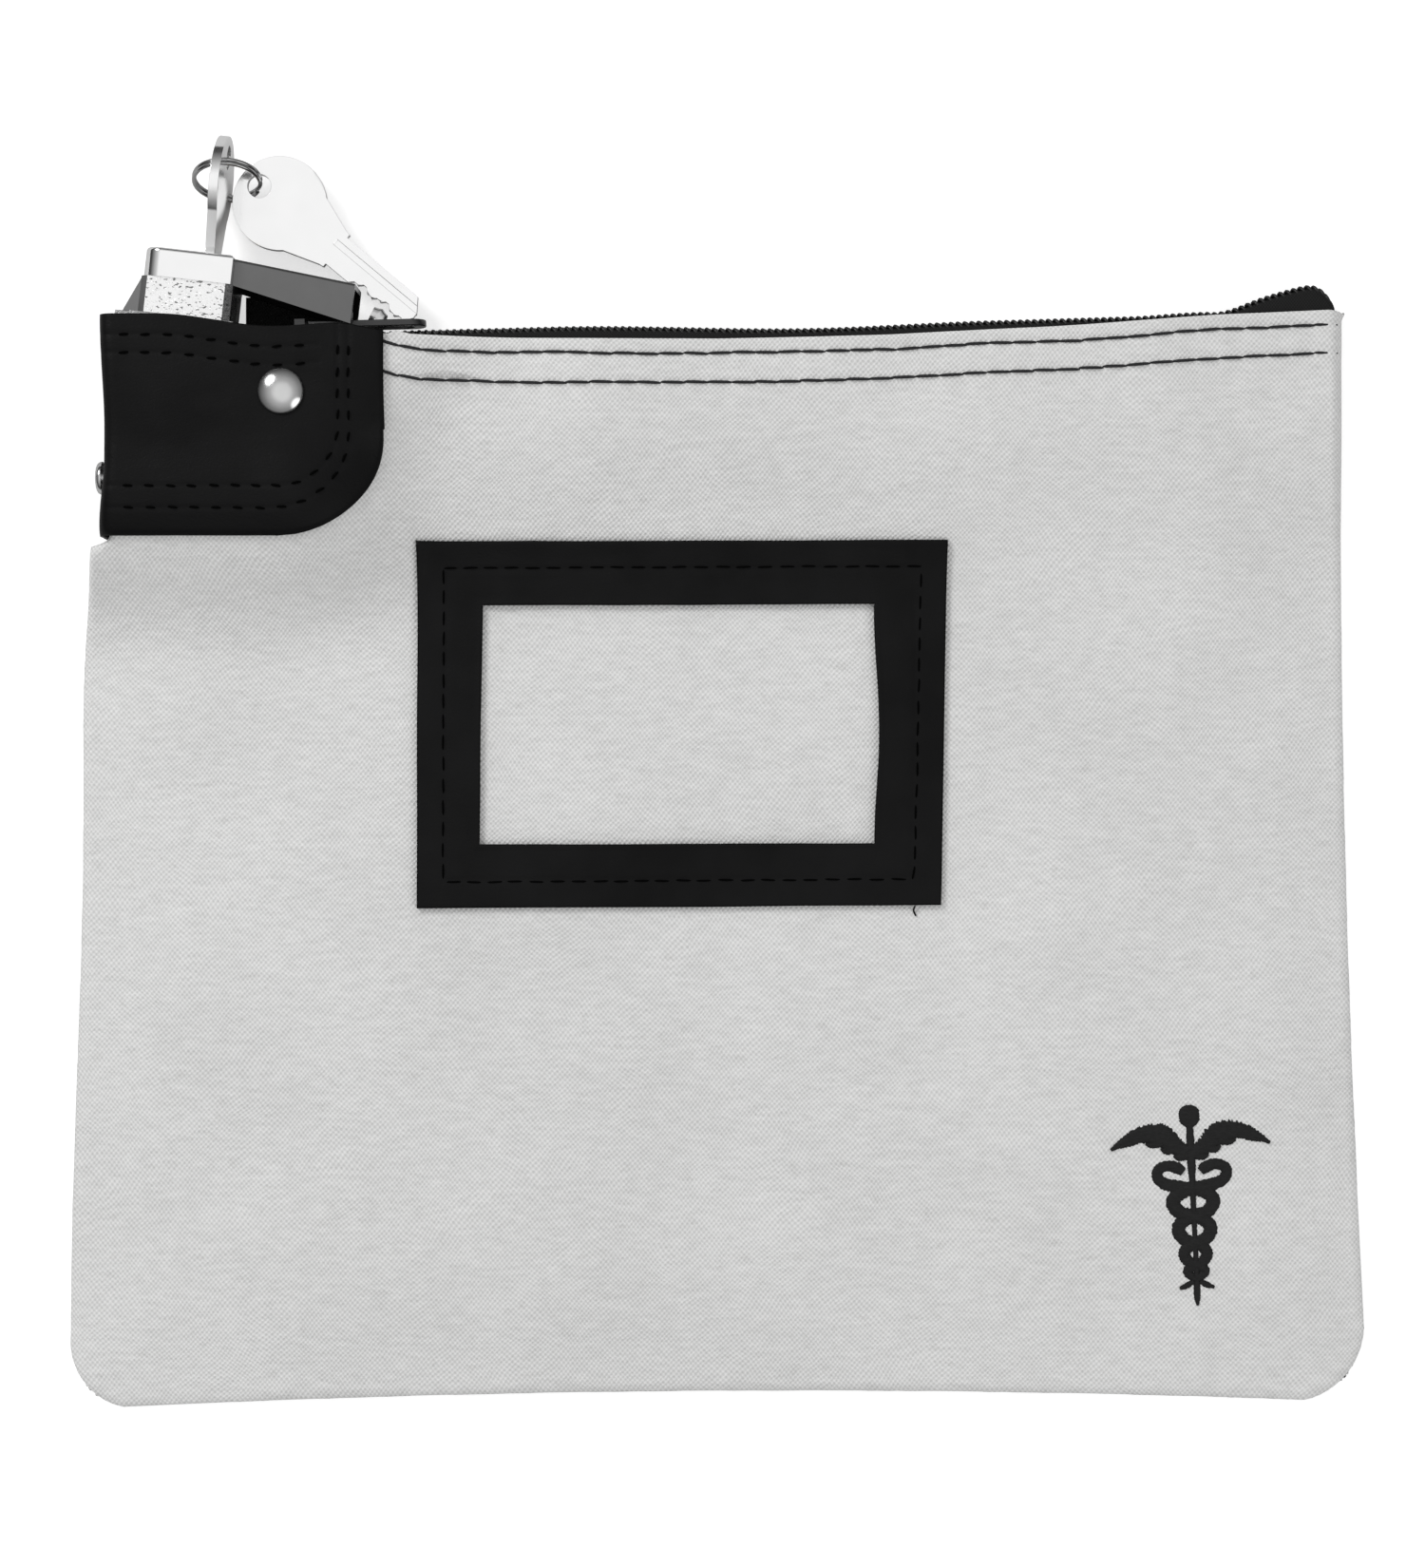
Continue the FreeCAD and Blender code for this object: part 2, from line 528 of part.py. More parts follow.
def plug():
    """The plug: a keyway, seven pin holes, a groove for its clip and a crank pin that draws the bolt."""
    body = rod("plug_body", "Sizes.plug_radius", "Sizes.barrel_foot + Sizes.head_rise + Sizes.cap_height",
               (PLUG_X, "-Sizes.barrel_foot", "0"), "y")
    crank = rod("plug_crank", "1.4", "Sizes.bolt_thick + 0.3",
                (PLUG_X, "-Sizes.barrel_foot + 0.01", "Sizes.bolt_throw"), "-y")
    keyway = slab("plug_keyway", (f"{PLUG_X} - Sizes.key_thick / 2 - 0.1",
                                  f"{PLUG_X} + Sizes.key_thick / 2 + 0.1"),
                  (f"{CAP_TOP} - Sizes.blade_length - 0.4", f"{CAP_TOP} + 1"),
                  "Sizes.blade_width / 2 + 0.15")
    groove = cut("plug_groove", rod("plug_groove_outer", "Sizes.plug_radius + 1", "Sizes.clip_thick + 0.1",
                                    (PLUG_X, "-Sizes.barrel_foot + 0.05", "0"), "y"),
                 rod("plug_groove_core", "Sizes.plug_radius - 0.95", "Sizes.clip_thick + 1",
                     (PLUG_X, "-Sizes.barrel_foot - 0.2", "0"), "y"))
    tools = [keyway, groove]
    for i, place in enumerate(pin_places):
        tools.append(rod(f"plug_pin_hole_{i}", "Sizes.pin_radius + 0.03", "Sizes.plug_radius + 1",
                         (PLUG_X, str(place), "-Sizes.plug_radius - 1"), "z"))
    return cut("plug_cut", fuse("plug_solid", body, crank), *tools)


def key_pins():
    """Pins of different lengths that fill the gap between each of the key's cuts and the plug's surface."""
    pins = []
    for i, (place, depth) in enumerate(zip(pin_places, cuts)):
        tip = f"Sizes.blade_width / 2 - {depth} + 0.04"
        cone = bound("Cone", f"key_pin_tip_{i}", (PLUG_X, str(place), f"-({tip}) - 0.5"),
                     Radius1="Sizes.pin_radius",
                     Radius2="Sizes.pin_radius - 0.5", Height="0.5")
        body = rod(f"key_pin_body_{i}", "Sizes.pin_radius", f"Sizes.plug_radius - 0.1 - ({tip}) - 0.5",
                   (PLUG_X, str(place), "-Sizes.plug_radius + 0.1"), "z")
        pins.append(fuse(f"key_pin_{i}", cone, body))
    return pins


def wire_along(points, radius, sides):
    """A wire through the points in short straight runs, with a section of as many sides."""
    way = (points[1] - points[0]).normalize()
    across = way.cross(UP).normalize()
    upright = across.cross(way)
    corners = []
    for k in range(sides):
        turn = 2 * math.pi * k / sides
        corners.append(points[0] + (across * math.cos(turn) + upright * math.sin(turn)) * radius)
    section = Part.makePolygon(corners + corners[:1])
    mitred = 1
    return Part.makePolygon(points).makePipeShell([section], True, False, mitred)


def coil_spring(radius, wire, height, turns, steps, place, turn):
    """A helical wire along its own +Z, with as many steps to a turn, turned and moved into its place."""
    count = turns * steps
    points = []
    for i in range(count + 1):
        angle = 2 * math.pi * i / steps
        points.append(v(radius * math.cos(angle), radius * math.sin(angle), height * i / count))
    coil = wire_along(points, wire, 8)
    coil.Placement = Placement(place, turn)
    return coil


def driver_pins():
    start = "Sizes.plug_offset - Sizes.plug_radius - Sizes.turn_gap - 0.04"
    return [rod(f"driver_pin_{i}", "Sizes.pin_radius", "Sizes.driver_length", (start, str(place), "0"),
                "-x")
            for i, place in enumerate(pin_places)]


def pin_springs():
    start = size("plug_offset") - size("plug_radius") - 0.09 - size("driver_length") - 0.16
    end = size("plug_offset") - size("plug_radius") - size("chamber_depth") + 0.16
    lying = Rotation(v(0, 1, 0), -90)
    coils = [coil_spring(size("pin_radius") - 0.2, 0.13, start - end, 5, 10, v(start, place, 0), lying)
             for place in pin_places]
    return Part.makeCompound(coils)


def lift_spring():
    wire = size("spring_wire")
    top = -size("barrel_foot") - size("bolt_thick") - 0.4 - size("foot_plate") - wire - 0.02
    bottom = -size("housing_length") + size("floor_thick") + wire + 0.02
    upright = Rotation(v(1, 0, 0), -90)
    coil = coil_spring(size("spring_radius"), wire, top - bottom, 7, 16, v(0, bottom, 0), upright)
    return Part.makeCompound([coil])


node("lock_housing", LOCK_EXPRESSION, housing())
node("housing_floor", LOCK_EXPRESSION,
     slab("floor_block", (f"-({HALF} + Sizes.slide_gap - 0.03)", f"{HALF} + Sizes.slide_gap - 0.03"),
          ("-Sizes.housing_length", "-Sizes.housing_length + Sizes.floor_thick"),
          f"{DEEP} + Sizes.slide_gap - 0.03"))
node("barrel", LOCK_EXPRESSION, barrel())
node("head_cap", LOCK_EXPRESSION, head_cap())
node("plug", LOCK_EXPRESSION, plug())
node("key_pins", LOCK_EXPRESSION, *key_pins())
node("driver_pins", LOCK_EXPRESSION, *driver_pins())
feature("pin_springs", pin_springs(), LOCK)
feature("lift_spring", lift_spring(), LOCK)
clip_ring = cut("clip_ring", rod("clip_outer", "Sizes.plug_radius + 0.4", "Sizes.clip_thick",
                                 (PLUG_X, "-Sizes.barrel_foot + 0.1", "0"), "y"),
                rod("clip_inner", "Sizes.plug_radius - 0.9", "3", (PLUG_X, "-Sizes.barrel_foot - 1", "0"),
                    "y"),
                box("clip_mouth", "8", "3", "4", (PLUG_X, "-Sizes.barrel_foot - 1", "-2")))
node("plug_clip", LOCK_EXPRESSION, clip_ring)
bolt = cut("bolt_cut", slab("bolt_plate", (f"-{HALF} + 4", f"{HALF} - 0.1"),
                            (f"{BOLT_LOW} + 0.2", "-Sizes.barrel_foot - 0.2"), "Sizes.bolt_width / 2"),
           box("bolt_window", "3.6", "4", "4.7", (f"{PLUG_X} - 1.8", "-Sizes.barrel_foot - 3", "-1.8")))
node("locking_bolt", LOCK_EXPRESSION, bolt)
foot = cut("foot_cut", fuse("foot_solid",
                            slab("foot_plate", (f"-{HALF} + 0.1", f"{HALF} - 0.1"),
                                 (f"{BOLT_LOW} - Sizes.foot_plate", BOLT_LOW), f"{DEEP} - 0.1"),
                            rod("foot_spigot", "Sizes.spring_radius - Sizes.spring_wire - 0.3", "3",
                                ("0", f"{BOLT_LOW} - Sizes.foot_plate + 0.1", "0"), "-y")),
           *[rod(f"foot_screw_hole_{sign + 1}", "1", "4", ("-9.2", f"{BOLT_LOW} - 3", str(6.2 * sign)),
                 "y") for sign in (-1, 1)])
node("barrel_foot_plate", LOCK_EXPRESSION, foot)
node("foot_screws", LOCK_EXPRESSION, *[rod(f"foot_screw_{sign + 1}", "1", "6",
                                           ("-9.2", f"{BOLT_LOW} - Sizes.foot_plate", str(6.2 * sign)), "y")
                                       for sign in (-1, 1)])
stop_low = f"{DEEP} - 1.2"
node("stop_pins", LOCK_EXPRESSION,
     rod("stop_pin_front", "1", "Sizes.slide_gap + Sizes.housing_wall + 1.2",
         ("-7", str(STOP_Y), stop_low), "z"),
     rod("stop_pin_back", "1", "Sizes.slide_gap + Sizes.housing_wall + 1.2",
         ("-7", str(STOP_Y), f"-({DEEP}) - Sizes.slide_gap - Sizes.housing_wall"), "z"))


# ---------------------------------------------------------------- the keys and the split ring

def key_shape():
    """A key in its own frame: the bow's middle is the origin, the blade runs along +X, the cuts face -Y."""
    thick, width = size("key_thick"), size("blade_width")
    neck, length = size("neck_length"), size("blade_length")
    half = thick / 2
    bow = Part.makeCylinder(size("bow_radius"), thick, v(0, 0, -half))
    shoulder = Part.makePolygon([v(4, 9.4), v(neck - 1.2, width / 2 + 1.1), v(neck, width / 2 + 0.9),
                                 v(neck, -width / 2 - 0.9),
                                 v(neck - 1.2, -width / 2 - 1.1), v(4, -9.4), v(4, 9.4)])
    point = 2.4
    blade = Part.makePolygon([v(neck - 1, width / 2), v(neck + length - point, width / 2),
                              v(neck + length, 0.6),
                              v(neck + length, -0.6), v(neck + length - point, -width / 2),
                              v(neck - 1, -width / 2),
                              v(neck - 1, width / 2)])
    shape = bow.fuse([prism(shoulder, -half, half), prism(blade, -half, half)])
    tools = [Part.makeCylinder(size("key_hole"), 9, v(-size("hole_offset"), 0, -4))]
    for i, depth in enumerate(cuts):
        middle = neck + size("pin_first") + i * size("pin_pitch")
        bottom, top = depth - width / 2, -width / 2 - 0.5
        spread = 0.45 + bottom - top
        notch = Part.makePolygon([v(middle - 0.45, bottom), v(middle + 0.45, bottom),
                                  v(middle + spread, top),
                                  v(middle - spread, top), v(middle - 0.45, bottom)])
        tools.append(prism(notch, -4, 4))
    for low, side in ((0.9, half - 0.7), (-0.9, -half - 1)):
        tools.append(Part.makeBox(length + 4, 1.5, 1.7,
                                  v(neck - 1.6 + (1.8 if low < 0 else 0), low - 0.2, side)))
    return shape.cut(tools)


def key_at(hole, along, normal):
    """The placement that puts a key's hole at a point, with its blade along one way and its face on another."""
    turn = Rotation(along, normal.cross(along), normal, "XZY")
    return Placement(hole + turn.multVec(v(size("hole_offset"), 0, 0)), turn)


bow_height = size("head_rise") + size("cap_height") + size("neck_length")
key_hole_place = LOCK.multVec(v(size("plug_offset"), bow_height + size("hole_offset"), 0))
lock_x_way, lock_y_way = (LOCK.Rotation.multVec(way) for way in (v(1, 0, 0), v(0, 1, 0)))
feature("key_in_lock", key_shape(), key_at(key_hole_place, lock_y_way.negative(), lock_x_way.negative()))

# The ring hangs through the first key's hole and leans down to the rest surface.
ring_high = key_hole_place + v(0, -1.0, 1.1)
ring_fall = ring_high.z - 1.05
ring_lean = math.asin(ring_fall / (2 * size("ring_radius")))
ring_way = v(0, math.cos(ring_lean), math.sin(ring_lean))
ring_middle = ring_high - ring_way * size("ring_radius")
ring_axis = v(1, 0, 0).cross(ring_way)


def split_ring():
    """Two flat turns of wire that lie against each other, with a step between them and both ends free."""
    wire, radius, steps = size("ring_wire"), size("ring_radius"), 36
    apart = wire + 0.02
    count = 2 * steps - 3
    points = []
    for i in range(count + 1):
        angle = 2 * math.pi * i / steps
        step = 2 * smooth((i - count / 2) / 6 + 0.5) - 1
        points.append(v(radius * math.cos(angle), radius * math.sin(angle), apart * step))
    return Part.makeCompound([wire_along(points, wire, 12)])


ring_turn = Rotation(v(1, 0, 0), ring_way, ring_axis, "ZXY")
feature("split_ring", split_ring(), Placement(ring_middle, ring_turn.multiply(Rotation(v(0, 0, 1), 70))))

spare_angle = math.radians(-22)
spare_hole = ring_middle + v(1, 0, 0) * (size("ring_radius") * math.cos(spare_angle)) \
    + ring_way * (size("ring_radius") * math.sin(spare_angle))
spare_way = v(math.cos(math.radians(-39.9)), math.sin(math.radians(-39.9)), 0)
feature("spare_key", key_shape(), key_at(spare_hole, spare_way, UP))


# ---------------------------------------------------------------- the rivets

cover_front = corner_top + size("ply_gap") + size("vinyl") + 0.1
front_head = rod("front_rivet_head", "Sizes.rivet_radius", "2.0",
                 ("Sizes.rivet_x", "Sizes.rivet_y", str(cover_front)), "z")
front_dome = bevel("front_rivet_dome", front_head, 1.9, lambda middle,
                   way: middle.z > cover_front + 1 and way.Length < 0.001)
front_shank = rod("front_rivet_shank", "Sizes.shank_radius", str(cover_front + 0.1 - 0.5),
                  ("Sizes.rivet_x", "Sizes.rivet_y", "0.5"), "z")
front_tail = rod("front_rivet_tail", "Sizes.rivet_radius - 0.8", "Sizes.rivet_head - 0.05",
                 ("Sizes.rivet_x", "Sizes.rivet_y", "0"), "z")
node("front_rivet", None, fuse("front_rivet_solid", front_dome, front_shank, front_tail))

wall_outside = size("corner_reach") + size("ply_gap") + size("vinyl") + 0.05
side_head = rod("side_rivet_head", "Sizes.side_rivet_radius", "1.4",
                (str(-wall_outside), "Sizes.side_rivet_y", "Sizes.lock_z"), "-x")
side_dome = bevel("side_rivet_dome", side_head, 1.3, lambda middle,
                  way: middle.x < -wall_outside - 1 and way.Length < 0.001)
housing_wall_x = LOCK.multVec(v(-size("barrel_width") / 2 - size("slide_gap"), -37, 0)).x
side_shank = rod("side_rivet_shank", "Sizes.shank_radius", str(housing_wall_x + wall_outside + 0.3),
                 (str(-wall_outside - 0.1), "Sizes.side_rivet_y", "Sizes.lock_z"), "x")
node("side_rivet", None, fuse("side_rivet_solid", side_dome, side_shank))


# ---------------------------------------------------------------- the zipper, in its own frame

def strip(top, bottom, low, high):
    """A flat strip between an upper and a lower edge in the zipper's XY plane, from z = low to z = high."""
    edges = [Part.makeLine(top[0], top[1]), curve_through(top[1:])]
    edges.append(Part.makeLine(top[-1], bottom[-1]))
    if len(bottom) > 2:
        edges += [curve_through(bottom[1:][::-1]), Part.makeLine(bottom[1], bottom[0])]
    else:
        edges.append(Part.makeLine(bottom[1], bottom[0]))
    edges.append(Part.makeLine(bottom[0], top[0]))
    return prism(Part.Wire(edges), low, high)


zip_end = size("zip_length") - 2.4
start, climb, crest = -1.0, zip_end - 29, size("bump")
half_chain = size("chain_height") / 2
chain_line = [v(start, 0), v(climb, 0), v(climb + 12, crest * 0.24), v(climb + 22, crest * 0.9),
              v(climb + 26, crest), v(climb + 28.2, crest * 0.66), v(zip_end, 0)]


def chain_edge(side):
    """The chain's upper (1) or lower (-1) edge: its line moved sideways by half its height."""
    edge = []
    for i, p in enumerate(chain_line):
        before, after = chain_line[max(i - 1, 0)], chain_line[min(i + 1, len(chain_line) - 1)]
        way = (after - before).normalize() if i > 1 else v(1, 0)
        edge.append(p + v(-way.y, way.x) * (half_chain * side))
    return edge


half_coil, tape = size("chain_depth") / 2, size("tape")
upper, lower = chain_edge(1), chain_edge(-1)
feature("zipper_coil_front", strip(upper, lower, 0.02, half_coil), ZIP)
feature("zipper_coil_back", strip(upper, lower, -half_coil, -0.02), ZIP)
tape_top = [v(start + 0.6, tape)] + [p + v(0, tape) for p in chain_line[1:-1]] + [v(zip_end - 0.8, 0)]
tape_bottom = [v(start + 0.6, -size("tape_reach")), v(zip_end - 0.8, -size("tape_reach"))]
feature("zipper_tape_front", strip(tape_top, tape_bottom, half_coil, half_coil + tape), ZIP)
feature("zipper_tape_back", strip(tape_top, tape_bottom, -half_coil - tape, -half_coil), ZIP)

GUIDE = "Sizes.chain_height / 2 + Sizes.slider_gap"
BAIL_X = "-2.4"
BAIL_Y = f"{GUIDE} + Sizes.slider_wall + 1.5"
LENGTH = "Sizes.slider_length / 2"


def slider():
    """The slider: a top plate with a bail, a narrow plate under the chain, and the wedge that parts it."""
    top = slab("slider_top", (f"-{LENGTH}", LENGTH), (GUIDE, f"{GUIDE} + Sizes.slider_wall"),
               "Sizes.slider_depth / 2")
    top = bevel("slider_corners", top, 2.2, lambda middle,
                way: abs(way.y) > 0.5 and abs(way.x) + abs(way.z) < 0.01)
    low = slab("slider_low", (f"-{LENGTH}", LENGTH), (f"-({GUIDE}) - Sizes.slider_wall", f"-({GUIDE})"),
               "Sizes.chain_depth / 2 - 0.25")
    wedge = slab("slider_wedge", (f"-{LENGTH} + 0.6", "-1.4"), (f"-({GUIDE}) - 0.1", f"{GUIDE} + 0.1"),
                 "0.9")
    posts = [box(f"slider_post_{i}", "2.4", "3.0", "1.2",
                 (f"{BAIL_X} - 1.2", f"{GUIDE} + Sizes.slider_wall - 0.1", low_z))
             for i, low_z in enumerate(("2.3", "-3.5"))]
    bar = rod("slider_bar", "Sizes.bail_radius", "6.0", (BAIL_X, BAIL_Y, "-3.0"), "z")
    return fuse("slider_solid", top, low, wedge, bar, *posts)


def pull_tab():
    """A flat tab with an oval hole near its end and a knuckle that turns on the slider's bar."""
    plate = slab("tab_plate", ("-0.4", "Sizes.tab_length - 3"),
                 (f"{BAIL_Y} - Sizes.tab_thick / 2", f"{BAIL_Y} + Sizes.tab_thick / 2"),
                 "Sizes.tab_width / 2")
    plate = bevel("tab_round", plate, 3.4, lambda middle,
                  way: abs(way.y) > 0.5 and abs(way.x) + abs(way.z) < 0.01 and middle.x > 0)
    knuckle = rod("tab_knuckle", "Sizes.bail_radius + 0.6", "4.2", (BAIL_X, BAIL_Y, "-2.1"), "z")
    neck = slab("tab_neck", (BAIL_X, "0.2"), (f"{BAIL_Y} - Sizes.tab_thick / 2",
                                              f"{BAIL_Y} + Sizes.tab_thick / 2"), "2.1")
    hole = rod("tab_bore", "Sizes.bail_radius + 0.08", "8", (BAIL_X, BAIL_Y, "-4"), "z")
    oval = slab("tab_slot", ("Sizes.tab_length - 15", "Sizes.tab_length - 8"),
                (f"{BAIL_Y} - 3", f"{BAIL_Y} + 3"), "2.2")
    rounds = [rod(f"tab_slot_end_{i}", "2.2", "6", (f"Sizes.tab_length - {back}", f"{BAIL_Y} - 3", "0"),
                  "y") for i, back in enumerate((15, 8))]
    return cut("tab_cut", fuse("tab_solid", plate, knuckle, neck), hole, oval, *rounds)


node("slider_body", ZIP_EXPRESSION, slider())
node("pull_tab", ZIP_EXPRESSION, pull_tab())

# ---------------------------------------------------------------- checking and writing

doc.recompute()
for item in doc.Objects:
    if "Invalid" in item.State or "Error" in item.State:
        raise RuntimeError(f"{item.Name} failed: {item.State}")
for item in nodes:
    if item.Shape.isNull() or not item.Shape.isValid() or not item.Shape.Solids:
        raise RuntimeError(f"{item.Label} has no valid solid")
os.makedirs("parts", exist_ok=True)
for item in nodes:
    item.Shape.exportStep(f"parts/{item.Label}.step")
print(len(nodes), "nodes written")
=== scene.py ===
"""Looks of the zipped canvas deposit bag with a pop-up lock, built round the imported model.

Everything is in metres, in the row frame: +X along the zipper, +Y towards the mouth, +Z off the rest surface.
"""
import bisect
import json
import math
import random

import bpy
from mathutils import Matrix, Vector, kdtree, noise
from mathutils.bvhtree import BVHTree


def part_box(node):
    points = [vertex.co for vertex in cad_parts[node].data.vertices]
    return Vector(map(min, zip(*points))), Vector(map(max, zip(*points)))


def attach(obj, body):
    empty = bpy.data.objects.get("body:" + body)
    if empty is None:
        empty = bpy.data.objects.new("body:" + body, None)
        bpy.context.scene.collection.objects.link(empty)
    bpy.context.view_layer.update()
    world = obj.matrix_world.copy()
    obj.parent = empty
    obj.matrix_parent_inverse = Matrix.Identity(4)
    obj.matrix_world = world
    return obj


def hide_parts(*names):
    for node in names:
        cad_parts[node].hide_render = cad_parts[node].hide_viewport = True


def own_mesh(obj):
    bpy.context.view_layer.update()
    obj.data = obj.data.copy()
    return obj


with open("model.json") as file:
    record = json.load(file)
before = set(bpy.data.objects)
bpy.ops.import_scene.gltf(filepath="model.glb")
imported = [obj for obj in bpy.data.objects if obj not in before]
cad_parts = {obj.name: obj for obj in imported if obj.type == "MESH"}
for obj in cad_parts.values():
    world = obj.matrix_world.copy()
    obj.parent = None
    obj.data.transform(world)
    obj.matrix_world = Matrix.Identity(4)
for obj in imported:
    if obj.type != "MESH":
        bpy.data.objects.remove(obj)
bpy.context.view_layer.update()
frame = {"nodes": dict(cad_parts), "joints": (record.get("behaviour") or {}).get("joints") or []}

MM = 0.001
UP = Vector((0, 0, 1))


# ---- reading the frame

def tree_of(*names):
    """A search tree over the triangles of some CAD nodes."""
    verts, faces = [], []
    for name in names:
        mesh = frame["nodes"][name].data
        start = len(verts)
        verts += [v.co.copy() for v in mesh.vertices]
        faces += [[start + i for i in p.vertices] for p in mesh.polygons]
    return BVHTree.FromPolygons(verts, faces)


def joint(name):
    return next(j for j in frame["joints"] if j["name"] == name)


def smooth(share):
    """0 below 0, 1 above 1, and a soft step between."""
    share = max(0.0, min(1.0, share))
    return share * share * (3 - 2 * share)


def wavy(x, y, size, seed):
    """Soft noise from -1 to 1 with features of about size millimetres."""
    return noise.noise(Vector((x, y, 0)) / (size * MM) + UP * seed * 7.31)


front_tree = tree_of("canvas_front_panel")
back_tree = tree_of("canvas_back_panel")
cover_tree = tree_of("vinyl_corner_cover")
cloth_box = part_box("canvas_front_panel")
cover_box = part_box("vinyl_corner_cover")
label_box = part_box("label_frame")
zip_way = Vector(joint("slider_travel")["axis"]).normalized()


# ---- meshes

def add_item(name, data):
    item = bpy.data.objects.new(name, data)
    bpy.context.scene.collection.objects.link(item)
    return item


def make_piece(name, verts, faces, body, slot, material):
    """A mesh piece that rides on a body and takes the given material; slot is not used."""
    mesh = bpy.data.meshes.new(name)
    mesh.from_pydata([tuple(v) for v in verts], [], faces)
    mesh.validate()
    mesh.shade_smooth()
    mesh.materials.append(material)
    piece = add_item(name, mesh)
    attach(piece, body)
    return piece


def on(height, x, y, rise=0.0):
    """The point at x and y, rise above height(x, y)."""
    return Vector((x, y, height(x, y) + rise))


def grid_faces(rows, columns, closed=False):
    """Quads between rows of points; closed joins each row's end to its start."""
    faces = []
    for r in range(rows - 1):
        for c in range(columns if closed else columns - 1):
            a = r * columns + c
            b = r * columns + (c + 1) % columns
            faces.append((a, b, b + columns, a + columns))
    return faces


def thicken(piece, thickness, offset=-1.0):
    modifier = piece.modifiers.new("thickness", "SOLIDIFY")
    modifier.thickness = thickness
    modifier.offset = offset
    modifier.use_even_offset = False


def tube(points, radius, sides, axis=None):
    """Verts and faces of a closed tube; radius is one value or a list, and axis squares up its rings."""
    verts, count = [], len(points)
    for i, point in enumerate(points):
        way = (points[min(i + 1, count - 1)] - points[max(i - 1, 0)]).normalized()
        across = way.cross(UP if axis is None else axis)
        across = across.normalized() if across.length > 1e-6 else Vector((1, 0, 0))
        upright = across.cross(way) if axis is None else axis
        size = radius[i] if isinstance(radius, list) else radius
        for k in range(sides):
            turn = 2 * math.pi * k / sides
            verts.append(point + size * (across * math.cos(turn) + upright * math.sin(turn)))
    faces = grid_faces(count, sides, True)
    faces.append(tuple(range(sides)))
    faces.append(tuple(range(count * sides - 1, (count - 1) * sides - 1, -1)))
    return verts, faces


class Path:
    """A line of points that is walked by length."""

    def __init__(self, points):
        self.points = points
        self.lengths = [0.0]
        for a, b in zip(points, points[1:]):
            self.lengths.append(self.lengths[-1] + (b - a).length)

    def at(self, length):
        """The point at a length, and the way that the line runs there."""
        i = max(1, min(len(self.points) - 1, bisect.bisect_left(self.lengths, length)))
        a, b = self.points[i - 1], self.points[i]
        span = max(1e-9, self.lengths[i] - self.lengths[i - 1])
        return a.lerp(b, (length - self.lengths[i - 1]) / span), (b - a).normalized()


def add_part(verts, faces, part):
    """Adds another part's verts and faces to the lists."""
    start = len(verts)
    verts += part[0]
    faces += [tuple(start + i for i in face) for face in part[1]]


# ---- materials

def grey(value):
    return (value, value, value)


def fill_ramp(ramp, stops):
    """Sets a colour ramp's stops, each a place and a grey or a colour."""
    while len(ramp.elements) < len(stops):
        ramp.elements.new(0.5)
    for element, (position, colour) in zip(ramp.elements, stops):
        element.position = position
        element.color = (*(colour if isinstance(colour, tuple) else grey(colour)), 1)


